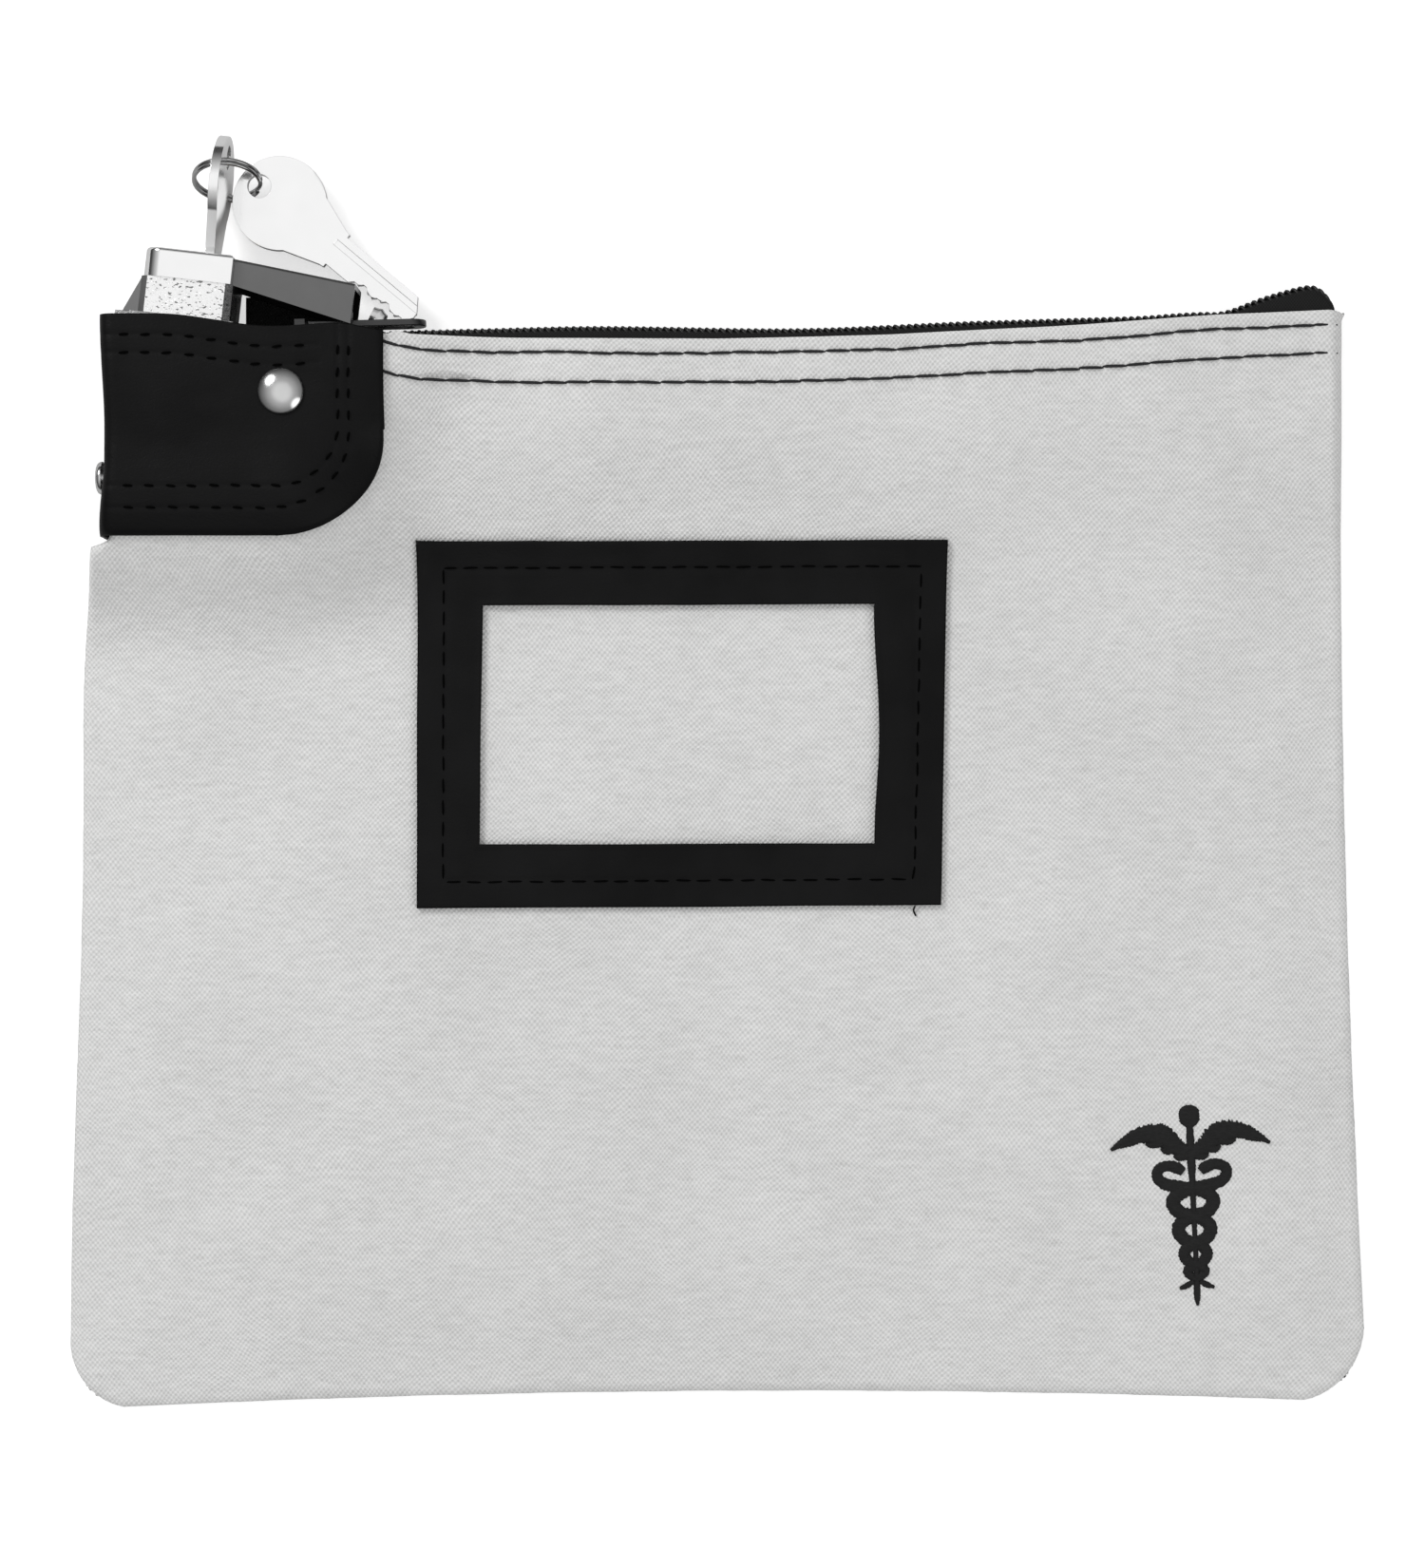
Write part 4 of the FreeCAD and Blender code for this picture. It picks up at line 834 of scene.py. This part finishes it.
def cover_grooves(x, y, top=True):
    inset, side = cover_inset(x, y)
    dent = sum(seam_groove(inset - (right + (low - right) * side)) for right, low in COVER_ROWS)
    if top and x < TOP_ROWS_END:
        dent += sum(seam_groove(cover_top(x) - y - row) for row in TOP_ROWS)
    return dent


def cover_lean(y, z):
    """The side wall leans inwards towards its top, and spreads again at the lower edge."""
    height = smooth((z - cover_box[0].z) / (cover_box[1].z - cover_box[0].z))
    run = (y - cover_box[0].y) / (cover_box[1].y - cover_box[0].y)
    return height * MM * (0.5 + 1.5 * smooth(run / 0.35) * (1 - 0.7 * smooth((run - 0.5) / 0.5)))


def cover_height(x, y):
    """Height of the cover's outer side over the front cloth."""
    level = cad_height(cover_tree, x, y)
    level += 0.16 * MM * wavy(x, y, 14, 31) + 0.05 * MM * wavy(x * 0.5, y * 1.6, 5, 32)
    level += cover_grooves(x, y)
    level -= 0.35 * MM * (1 - smooth(cover_inset(x, y)[0] / (1.2 * MM)))
    return level


def make_cover():
    """One piece of vinyl: a front flap, a side wall round the corner's left edge and a back flap."""
    left, right, low = cover_box[0].x, cover_box[1].x, cover_box[0].y
    bottom = cover_box[0].z
    rows, flap, wall = 120, 150, 26
    turn, curl = 3.2 * MM, 1.4 * MM
    verts = []
    for r in range(rows):
        share = r / (rows - 1)
        y_flat = low + (cover_box[1].y - low) * share
        reach = right
        if y_flat < low + COVER_ROUND:
            rise = low + COVER_ROUND - y_flat
            reach += math.sqrt(max(0.0, COVER_ROUND ** 2 - rise ** 2)) - COVER_ROUND
        strip = []
        y_wall = low + (cover_top(left) - low) * share
        lean = cover_lean(y_wall, cover_box[1].z)
        for c in range(flap):
            x = reach + (left + lean + turn - reach) * c / (flap - 1)
            y = low + (cover_top(x) - low) * share
            strip.append(on(cover_height, x, y))
        top = strip[-1].z
        for c in range(1, 9):
            angle = math.pi / 2 * c / 8
            x = left + lean + turn * (1 - math.sin(angle))
            strip.append(Vector((x, y_wall, top - turn * (1 - math.cos(angle)))))
        for c in range(1, wall):
            z = top - turn + (bottom + curl - top + turn) * c / wall
            dent = 0.25 * MM * wavy(y_wall, z, 9, 33)
            strip.append(Vector((left + cover_lean(y_wall, z) + max(0.0, dent), y_wall, z)))
        for c in range(9):
            angle = math.pi / 2 * c / 8
            x = left + curl * (1 - math.cos(angle))
            strip.append(Vector((x, y_wall, bottom + curl * (1 - math.sin(angle)))))
        for c in range(1, 70):
            x = left + curl + (reach - left - curl) * c / 69
            y = low + (cover_top(x) - low) * share
            strip.append(Vector((x, y, bottom - cover_grooves(x, y, False))))
        verts += strip
    piece = make_piece("corner_cover", verts, grid_faces(rows, len(strip)), "bag", "vinyl", vinyl)
    thicken(piece, COVER_THICK, 1.0)
    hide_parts("vinyl_corner_cover")


def rounded_route(right_inset, low_inset):
    """A route inside the cover's edges: down its right side, round the corner and to the left."""
    right, low = cover_box[1].x, cover_box[0].y
    route = []
    step = 2 * MM
    y = cover_top(right - right_inset) - TOP_ROWS[0]
    while y > low + COVER_ROUND:
        route.append(Vector((right - right_inset, y)))
        y -= step
    for k in range(25):
        share = k / 24
        angle = math.pi / 2 * share
        radius = COVER_ROUND - right_inset - (low_inset - right_inset) * share
        middle = Vector((right - COVER_ROUND, low + COVER_ROUND))
        route.append(middle + radius * Vector((math.cos(angle), -math.sin(angle))))
    x = right - COVER_ROUND - step
    while x > cover_box[0].x + 3.5 * MM:
        route.append(Vector((x, low + low_inset)))
        x -= step
    return route


def make_cover_stitches():
    def lifted(x, y):
        return cover_height(x, y) + 0.03 * MM

    def underside(x, y):
        return cover_box[0].z + 0.1 * MM

    for k, row in enumerate(COVER_ROWS):
        route = rounded_route(*row)
        stitch_row(f"cover_stitches_{k}", route, lifted, *COVER_STITCH, 0.3 * MM, "vinyl", 0.12 * MM)
        stitch_row(f"cover_back_stitches_{k}", route, underside, *COVER_STITCH, 0.24 * MM, "vinyl", side=-1)
    left = cover_box[0].x + 5.5 * MM
    places = [left + (TOP_ROWS_END - left) * i / 60 for i in range(61)]
    for k, row in enumerate(TOP_ROWS):
        route = [Vector((x, cover_top(x) - row)) for x in places]
        stitch_row(f"cover_stitches_top_{k}", route, lifted, *COVER_STITCH, 0.3 * MM, "vinyl", -0.12 * MM)


# ---- the front rivet

def make_rivet():
    """The front rivet: a domed cap over a narrow rim, its shank and its flat tail."""
    low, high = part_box("front_rivet")
    middle = (low + high) / 2
    cap, shank, tail = (high.x - low.x) / 2, 1.9 * MM, 4.5 * MM
    profile = [(0.0001 * MM, high.z)]
    for k in range(1, 17):
        share = k / 16
        profile.append((share * (cap - 0.06 * MM), high.z - 1.5 * MM * share ** 2.4))
    profile += [(cap, high.z - 1.65 * MM), (cap, high.z - 1.9 * MM), (shank, high.z - 2.0 * MM),
                (shank, 1.45 * MM), (tail, 1.4 * MM), (tail, 0.25 * MM), (tail - 0.3 * MM, 0.02 * MM),
                (0.0001 * MM, 0.0)]
    around = 64
    verts = []
    for radius, z in profile:
        for k in range(around):
            turn = 2 * math.pi * k / around
            verts.append(Vector((middle.x + radius * math.cos(turn), middle.y + radius * math.sin(turn), z)))
    faces = [face[::-1] for face in grid_faces(len(profile), around, True)]
    piece = make_piece("rivet_cap", verts, faces, "bag", "rivet_nickel", rivet_metal)
    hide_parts("front_rivet")


# ---- the label frame

LABEL_ROW = 6.2 * MM
WINDOW = (93.3 * MM, 56.8 * MM)
window_middle = Vector((-9.6 * MM, (label_box[0].y + label_box[1].y) / 2))


def label_corners():
    """The outer and inner corners from the low left one round, which hand cutting left a little askew."""
    low, high = label_box
    skew = 0.8 * MM
    outer = [Vector((low.x - 0.2 * MM, low.y - 0.2 * MM)), Vector((high.x - skew, low.y + 0.6 * MM)),
             Vector((high.x + skew, high.y + 0.5 * MM)), Vector((low.x + 0.1 * MM, high.y))]
    half_x, half_y = WINDOW[0] / 2, WINDOW[1] / 2
    inner = [(-half_x - 0.5 * MM, -half_y), (half_x, -half_y + 0.3 * MM),
             (half_x, half_y + 0.3 * MM), (-half_x + 0.3 * MM, half_y)]
    inner = [window_middle + Vector(corner) for corner in inner]
    return outer, inner


def label_height(x, y):
    return front_height(x, y) + COVER_GAP + COVER_THICK


def make_label():
    """A sewn frame of vinyl: one ring of quads, with a stitched groove and a curled inner edge."""
    outer, inner = label_corners()
    across = 34
    counts = (150, 110, 150, 110)
    ring = []
    for side in range(4):
        a, b = outer[side], outer[(side + 1) % 4]
        c, d = inner[side], inner[(side + 1) % 4]
        for k in range(counts[side]):
            share = k / counts[side]
            ring.append((a.lerp(b, share), c.lerp(d, share), side, share))
    verts = []
    for out, inn, side, share in ring:
        width = (inn - out).length
        inwards = (inn - out).normalized()
        scale = 14 * MM / max(1e-6, width) if width < 30 * MM else 0.5
        for k in range(across):
            s = k / (across - 1)
            point = out.lerp(inn, s)
            bow = 0.28 * MM * wavy(point.x, point.y, 30, 41)
            if side == 1:
                bow += 1.1 * MM * s * math.sin(math.pi * min(1.0, share / 0.98)) ** 2
                point.x += bow
            else:
                point += inwards * bow * 0.6
            rise = seam_groove(s * width * scale - LABEL_ROW)
            rise += 0.09 * MM * wavy(point.x, point.y, 6, 42)
            rise += 0.18 * MM * smooth((s - 0.9) / 0.1)
            rise -= 0.12 * MM * (1 - smooth(s / 0.05))
            verts.append(on(label_height, *point, rise))
    count = len(ring)
    faces = []
    for r in range(count):
        for c in range(across - 1):
            a, b = r * across + c, ((r + 1) % count) * across + c
            faces.append((a, b, b + 1, a + 1))
    piece = make_piece("label_holder", verts, faces, "bag", "vinyl", vinyl)
    thicken(piece, COVER_THICK)
    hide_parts("label_frame")


def make_label_stitches():
    outer = label_corners()[0]
    middle = sum(outer, Vector((0, 0))) / 4
    route = []
    for side in (3, 0, 1, 2, 3):
        away = middle - outer[side]
        route.append(outer[side] + LABEL_ROW * Vector((math.copysign(1, away.x), math.copysign(1, away.y))))
    stitch_row("label_stitches", route, lambda x, y: label_height(x, y) - 0.15 * MM, 5.0 * MM, 1.5 * MM,
               0.24 * MM, "vinyl")


def make_loose_thread():
    """The sewing thread's end, left uncut at the frame's lower right corner."""
    start = Vector((label_box[1].x - 6.9 * MM, label_box[0].y + 0.4 * MM))
    points = []
    for k in range(9):
        share = k / 8
        x = start.x - 0.3 * MM * math.sin(share * 4)
        y = start.y - 2.4 * MM * share
        points.append(on(front_height, x, y, 0.3 * MM + 0.9 * MM * (1 - share) ** 2))
    make_piece("loose_thread_end", *tube(points, 0.2 * MM, 6), "bag", "vinyl", black_thread_and_hole_shade)


# ---- the emblem

EMBLEM_HEIGHT = 47.7 * MM
emblem_middle = Vector((112.7 * MM, -81.6 * MM))
EMBLEM_LEAN = math.radians(2.8)


def emblem_place(x, y):
    """From the emblem's own units, 1 for its height with its middle at 0, to the bag."""
    c, s = math.cos(EMBLEM_LEAN), math.sin(EMBLEM_LEAN)
    return emblem_middle + EMBLEM_HEIGHT * Vector((x * c - y * s, x * s + y * c))


def curve_points(knots, steps):
    """A smooth line through knots (Catmull-Rom)."""
    ends = [knots[0] * 2 - knots[1]] + list(knots) + [knots[-1] * 2 - knots[-2]]
    line = []
    for i in range(1, len(ends) - 2):
        p, a, b, q = ends[i - 1:i + 3]
        for k in range(steps):
            t = k / steps
            bend = (2 * p - 5 * a + 4 * b - q) * t * t + (3 * a - p - 3 * b + q) * t ** 3
            line.append(0.5 * (2 * a + (b - p) * t + bend))
    line.append(knots[-1])
    return line


def satin(knots, widths, steps, ragged, layer, seed):
    """A ribbon of satin stitches: domed across, with each row's ends a little uneven."""
    line = curve_points([Vector(k) for k in knots], steps)
    spread = curve_points([Vector((w, 0)) for w in widths], steps)
    rng = random.Random(seed)
    verts = []
    across = (-1.0, -0.82, -0.45, 0.0, 0.45, 0.82, 1.0)
    for i, point in enumerate(line):
        way = (line[min(i + 1, len(line) - 1)] - line[max(i - 1, 0)]).normalized()
        over = Vector((-way.y, way.x))
        half = max(0.001, spread[i].x / 2)
        left, right = [half * (1 + rng.uniform(-ragged, ragged) * 3) for _ in range(2)]
        ridge = rng.uniform(-0.05, 0.05) * MM
        for a in across:
            spot = emblem_place(*(point + over * a * (left if a < 0 else right)))
            rise = (0.42 * MM + layer * MM) * (1 - abs(a) ** 3) + (ridge if abs(a) < 1 else -0.12 * MM)
            verts.append(on(front_height, *spot, rise))
    return verts, grid_faces(len(line), len(across))


def wing(side):
    """A wing that sweeps up from the staff and droops to its tip, with feather ends along its lower edge."""
    arm = [(0.0, 0.255), (0.07, 0.295), (0.13, 0.348), (0.20, 0.366), (0.27, 0.36), (0.335, 0.332),
           (0.397, 0.294)]
    parts = [([(side * x, y) for x, y in arm], [0.07, 0.09, 0.118, 0.108, 0.074, 0.046, 0.018], 0.05, 0.05)]
    feathers = [((0.02, 0.25), (0.06, 0.243), (0.088, 0.252)), ((0.08, 0.285), (0.12, 0.276), (0.15, 0.292)),
                ((0.14, 0.32), (0.19, 0.311), (0.225, 0.318)), ((0.24, 0.35), (0.31, 0.325), (0.352, 0.306))]
    for feather in feathers:
        parts.append(([(side * x, y) for x, y in feather], [0.05, 0.04, 0.014], 0.06, 0.0))
    return parts


def serpent(side):
    """A serpent from its head beside the staff, round and down in narrowing crossings to its tail."""
    # each knot's x, y and width
    turns = ((0.043, 0.168, 0.046), (0.068, 0.188, 0.064), (0.118, 0.203, 0.058), (0.163, 0.187, 0.058),
             (0.172, 0.150, 0.060), (0.136, 0.114, 0.066), (0.06, 0.095, 0.07), (-0.03, 0.078, 0.072),
             (-0.085, 0.05, 0.076), (-0.10, 0.012, 0.078), (-0.066, -0.032, 0.074), (0.0, -0.052, 0.07),
             (0.06, -0.08, 0.072), (0.08, -0.122, 0.074), (0.052, -0.166, 0.07), (0.0, -0.188, 0.066),
             (-0.043, -0.212, 0.064), (-0.056, -0.246, 0.064), (-0.034, -0.28, 0.06), (0.0, -0.297, 0.056),
             (0.032, -0.312, 0.054), (0.043, -0.33, 0.052), (0.024, -0.354, 0.044), (0.0, -0.368, 0.034))
    return [(side * x, y) for x, y, _ in turns], [width for _, _, width in turns]


def make_emblem():
    """A staff with a knob, two wings and two serpents: the traditional caduceus, in a drawing of its own."""
    verts, faces = [], []
    for side in (-1, 1):
        for k, (knots, widths, ragged, layer) in enumerate(wing(side)):
            add_part(verts, faces, satin(knots, widths, 16, ragged, layer, 50 + k + 20 * side))
        knots, widths = serpent(side)
        add_part(verts, faces, satin(knots, widths, 12, 0.03, 0.12 if side > 0 else 0.0, 80 + side))
        add_part(verts, faces, satin([(side * 0.015, -0.378), (side * 0.05, -0.398), (side * 0.086, -0.412)],
                                     [0.024, 0.034, 0.016], 8, 0.05, 0.0, 90 + side))
    staff = [(0, y) for y in (0.42, 0.3, 0.2, 0.125, -0.1, -0.3, -0.4, -0.46, -0.5)]
    widths = [0.036, 0.044, 0.046, 0.034, 0.028, 0.03, 0.036, 0.034, 0.014]
    add_part(verts, faces, satin(staff, widths, 16, 0.03, 0.02, 5))
    knob = [(0, y) for y in (0.502, 0.485, 0.448, 0.41, 0.388)]
    add_part(verts, faces, satin(knob, [0.03, 0.092, 0.114, 0.09, 0.03], 10, 0.02, 0.06, 6))
    make_piece("embroidered_emblem", verts, faces, "bag", "canvas", embroidery)


# ---- the zipper

COIL_PITCH = 1.65 * MM
coil_tree = tree_of("zipper_coil_front", "zipper_coil_back")
coil_box = [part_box("zipper_coil_front"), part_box("zipper_coil_back")]


def chain_top(x, z):
    """Height in Y of the chain's upper edge at x."""
    hit = coil_tree.ray_cast(Vector((x, 0.2, z)), Vector((0, -1, 0)))[0]
    return None if hit is None else hit.y


def chain_middle():
    """The chain's middle line in X, Y and Z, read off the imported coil."""
    left, right = coil_box[0][0].x, coil_box[0][1].x
    slope = zip_way.z / zip_way.x
    z_left = (coil_box[0][1].z + coil_box[1][1].z) / 2 - 1.3 * MM
    line = []
    count = 400
    for k in range(count + 1):
        x = left + 0.3 * MM + (right - left - 0.6 * MM) * k / count
        z = z_left + slope * (x - left)
        top = chain_top(x, z + 0.6 * MM) or chain_top(x, z + 1.5 * MM)
        if top is not None:
            line.append(Vector((x, top - 1.25 * MM + chain_sway(x), z)))
    return line


def chain_sway(x):
    """The sewn chain wanders a little from its straight line and arches higher at its closed end."""
    return along(((-90, 0.0), (-74, 1.2), (-38, 1.2), (24, -0.7), (66, 0.0), (98, 0.1), (114, 0.7),
                  (128, 1.9), (141, 0.9), (150, 0.2)), x)


def make_tapes():
    """The two tapes: each hangs from the chain down behind the cloth's hem."""
    line = chain_middle()
    half = 2.6 * MM
    for name, side, top in (("front", 1, -0.1 * MM), ("back", -1, 0.35 * MM)):
        verts = []
        rows = [top, top - 0.8 * MM, top - 2 * MM] + [top - k * 2.4 * MM for k in range(2, 6)] + [-13.8 * MM]
        for p in line[2:]:
            chord = 1.2 * MM * smooth((line[-1].x - p.x) / (3 * MM))
            for row in rows:
                rise = side * (half - (0.9 * MM if row > top - 0.5 * MM else 0.0))
                verts.append(Vector((p.x, p.y + row - (1.2 * MM - chord) * (row == top), p.z + rise)))
        faces = [face[::-side] for face in grid_faces(len(line) - 2, len(rows))]
        piece = make_piece(f"tape_{name}", verts, faces, "bag", "tape_black", tape)
        thicken(piece, 0.5 * MM)
        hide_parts(f"zipper_tape_{name}")


def make_tape_end_shade_sheet():
    """The tapes' folded end, which closes the gap behind the hood between the lock and the chain; the black
    sheet also stands in as painted shade for the hollow there.
    """
    left, right = -112.3 * MM, -88 * MM
    low, high = 119 * MM, 134.0 * MM
    verts = []
    rows, columns = 14, 20
    for r in range(rows):
        for c in range(columns):
            x = left + (right - left) * c / (columns - 1)
            y = low + (high - 3.2 * MM * smooth((c / columns - 0.4) / 0.6) - low) * r / (rows - 1)
            z = 5.2 * MM - 0.25 * MM * abs(wavy(x, y, 6, 51))
            verts.append(Vector((x, y, z)))
    piece = make_piece("tape_end_shade_sheet", verts, grid_faces(rows, columns), "bag", "tape_black", tape)
    thicken(piece, 0.6 * MM)


def make_coils():
    """Two helical filaments whose loops interlock along the chain."""
    path = Path(chain_middle())
    steps = 14
    for name, side in (("front", 1), ("back", -1)):
        points = []
        for k in range(int(path.lengths[-1] / COIL_PITCH * steps)):
            turn = 2 * math.pi * k / steps + (0 if side > 0 else math.pi)
            loop = Vector((-0.42 * math.cos(turn), 0.1 + 0.9 * math.cos(turn),
                           side * (0.95 + 1.15 * math.sin(turn)))) * MM
            points.append(path.at((k + 0.5) * COIL_PITCH / steps)[0] + loop)
        piece = make_piece(f"coil_{name}", *tube(points, 0.42 * MM, 6), "bag", "coil_black", nylon)
        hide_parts(f"zipper_coil_{name}")


# ---- the split ring

def make_ring():
    """Two turns of round wire that step from one to the other beside their free ends."""
    verts = [v.co for v in frame["nodes"]["split_ring"].data.vertices]
    middle = sum(verts, Vector()) / len(verts)
    lift = Vector(joint("ring_swing")["pos_m"]) - middle
    across = Vector(joint("spare_key_swing")["pos_m"]) - middle
    axis = lift.cross(across).normalized()
    a = lift.normalized()
    b = axis.cross(a)
    radius, wire = 7.8 * MM, 0.5 * MM
    points = []
    start = math.radians(118)
    for k in range(150):
        share = k / 149
        angle = start + 2 * math.pi * 1.93 * share
        step = (2 * smooth((share - 0.5) * 12 + 0.5) - 1) * (wire + 0.02 * MM)
        points.append(middle + radius * (a * math.cos(angle) + b * math.sin(angle)) + axis * step)
    piece = make_piece("key_ring", *tube(points, wire, 10, axis), "ring", "ring_steel", ring_metal)
    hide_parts("split_ring")


# ---- the lift spring

def make_lift_spring():
    """The coil under the barrel, wound up from its floor end; it is built as one fixed shape, though the real
    spring shortens as the head goes down.
    """
    press = joint("head_press")
    way = Vector(press["axis"]).normalized()
    source = [v.co.copy() for v in frame["nodes"]["lift_spring"].data.vertices]
    depths = [p.dot(way) for p in source]
    middle = sum(source, Vector()) / len(source)
    low = middle + way * (max(depths) - middle.dot(way))
    length = max(depths) - min(depths)
    wire, radius, turns, steps = 0.5 * MM, 5.0 * MM, 7, 20
    side = way.cross(UP).normalized()
    points = []
    for k in range(turns * steps + 1):
        angle = 2 * math.pi * k / steps
        climb = wire + (length - 2 * wire) * k / (turns * steps)
        points.append(low - way * climb + radius * (side * math.cos(angle) + UP * math.sin(angle)))
    piece = make_piece("lift_coil", *tube(points, wire, 8, way), "bag", "spring_steel", spring_metal)
    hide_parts("lift_spring")
    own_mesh(piece)


# ---- finishes on the CAD parts

def finish_part(name, material, edge):
    """Gives a CAD part its material and softly broken edges."""
    item = frame["nodes"][name]
    item.data.materials.clear()
    item.data.materials.append(material)
    item.modifiers.new("weld", "WELD").merge_threshold = 0.002 * MM
    item.data.shade_smooth()
    sharp = math.radians(32)
    if edge:
        bevel = item.modifiers.new("bevel", "BEVEL")
        bevel.width = edge * MM
        bevel.segments = 2
        bevel.limit_method = "ANGLE"
        bevel.angle_limit = sharp
        item.modifiers.new("normals", "WEIGHTED_NORMAL").weight = 100
    else:
        item.modifiers.new("edges", "EDGE_SPLIT").split_angle = sharp


def line_castings():
    """The hood is duller than the cap, and its inner faces are near-black as painted shade in its hollow; the
    barrel's flare facet is a darker copy of its cast metal as painted shade.
    """
    middle = Vector(joint("plug_turn")["pos_m"])
    upward = Vector(joint("plug_turn")["axis"]).normalized()
    across = upward.cross(UP)
    hood = frame["nodes"]["head_cap"].data
    hood.materials.append(hood_metal)
    hood.materials.append(hood_inside_painted_shade)
    for face in hood.polygons:
        away = face.center - middle
        if away.dot(across) > 6.5 * MM:
            inner = away.z * face.normal.z < -0.1 * MM or face.normal.dot(across) < -0.5
            # index 2 is the painted shade on the hood's inner faces
            face.material_index = 2 if inner or face.normal.dot(upward) < -0.5 else 1
    # the flare facet takes the darker copy of the cast metal, as painted shade
    barrel = frame["nodes"]["barrel"].data
    barrel.materials.append(facet_painted_shade)
    for face in barrel.polygons:
        if (face.center - middle).dot(across) < -13.4 * MM:
            face.material_index = 1


def make_tab_grip():
    """The pull tab's grip: a fin with scallops round its edge, standing on the tab beyond the hood."""
    foot = Vector((-82.4 * MM, 126.7 * MM, 14.6 * MM))
    reach, height, lean = 4.2 * MM, 3.4 * MM, 1.7 * MM
    thick, soft, steps = 1.3 * MM, 0.35 * MM, 60
    rim = []
    for k in range(steps + 1):
        turn = math.pi / 2 * k / steps
        notch = 1 - 0.07 * abs(math.sin(turn * 6))
        across = notch * reach * math.cos(turn) + lean * math.sin(turn)
        rim.append(foot + Vector((across, notch * height * math.sin(turn), 0)))
    rings = [(0.02, thick), (0.86, thick), (1.0, thick - soft)]
    rings += [(inner, -rise) for inner, rise in reversed(rings)]
    verts = [foot.lerp(p, inner) + UP * rise for inner, rise in rings for p in rim]
    grip = make_piece("tab_grip", verts, grid_faces(len(rings), len(rim)), "tab", "slider_black", rivet_metal)
    thicken(grip, 0.2 * MM)


# each CAD part's material, and the width of its broken edges in millimetres
FINISHES = {
    "lock_housing": (housing_metal, 0.15), "housing_floor": (housing_metal, 0.1), "barrel": (cast_metal, 0.3),
    "head_cap": (cap_chrome, 0.35), "plug": (brass, 0.05), "key_pins": (brass, 0), "driver_pins": (brass, 0),
    "pin_springs": (spring_metal, 0), "plug_clip": (spring_metal, 0), "locking_bolt": (spring_metal, 0.1),
    "barrel_foot_plate": (housing_metal, 0.1), "foot_screws": (spring_metal, 0),
    "stop_pins": (spring_metal, 0), "key_in_lock": (key_metal, 0.2), "spare_key": (key_metal, 0.2),
    "side_rivet": (rivet_metal, 0), "slider_body": (enamel, 0.12), "pull_tab": (enamel, 0.25),
}


# ---- building

front = make_front()
back = make_back()
make_hem_stitches()
make_cover()
make_cover_stitches()
make_rivet()
make_label()
make_label_stitches()
make_loose_thread()
make_emblem()
make_coils()
make_tapes()
make_tape_end_shade_sheet()
make_ring()
make_lift_spring()
for part_name, (part_material, edge_width) in FINISHES.items():
    finish_part(part_name, part_material, edge_width)
line_castings()
make_tab_grip()
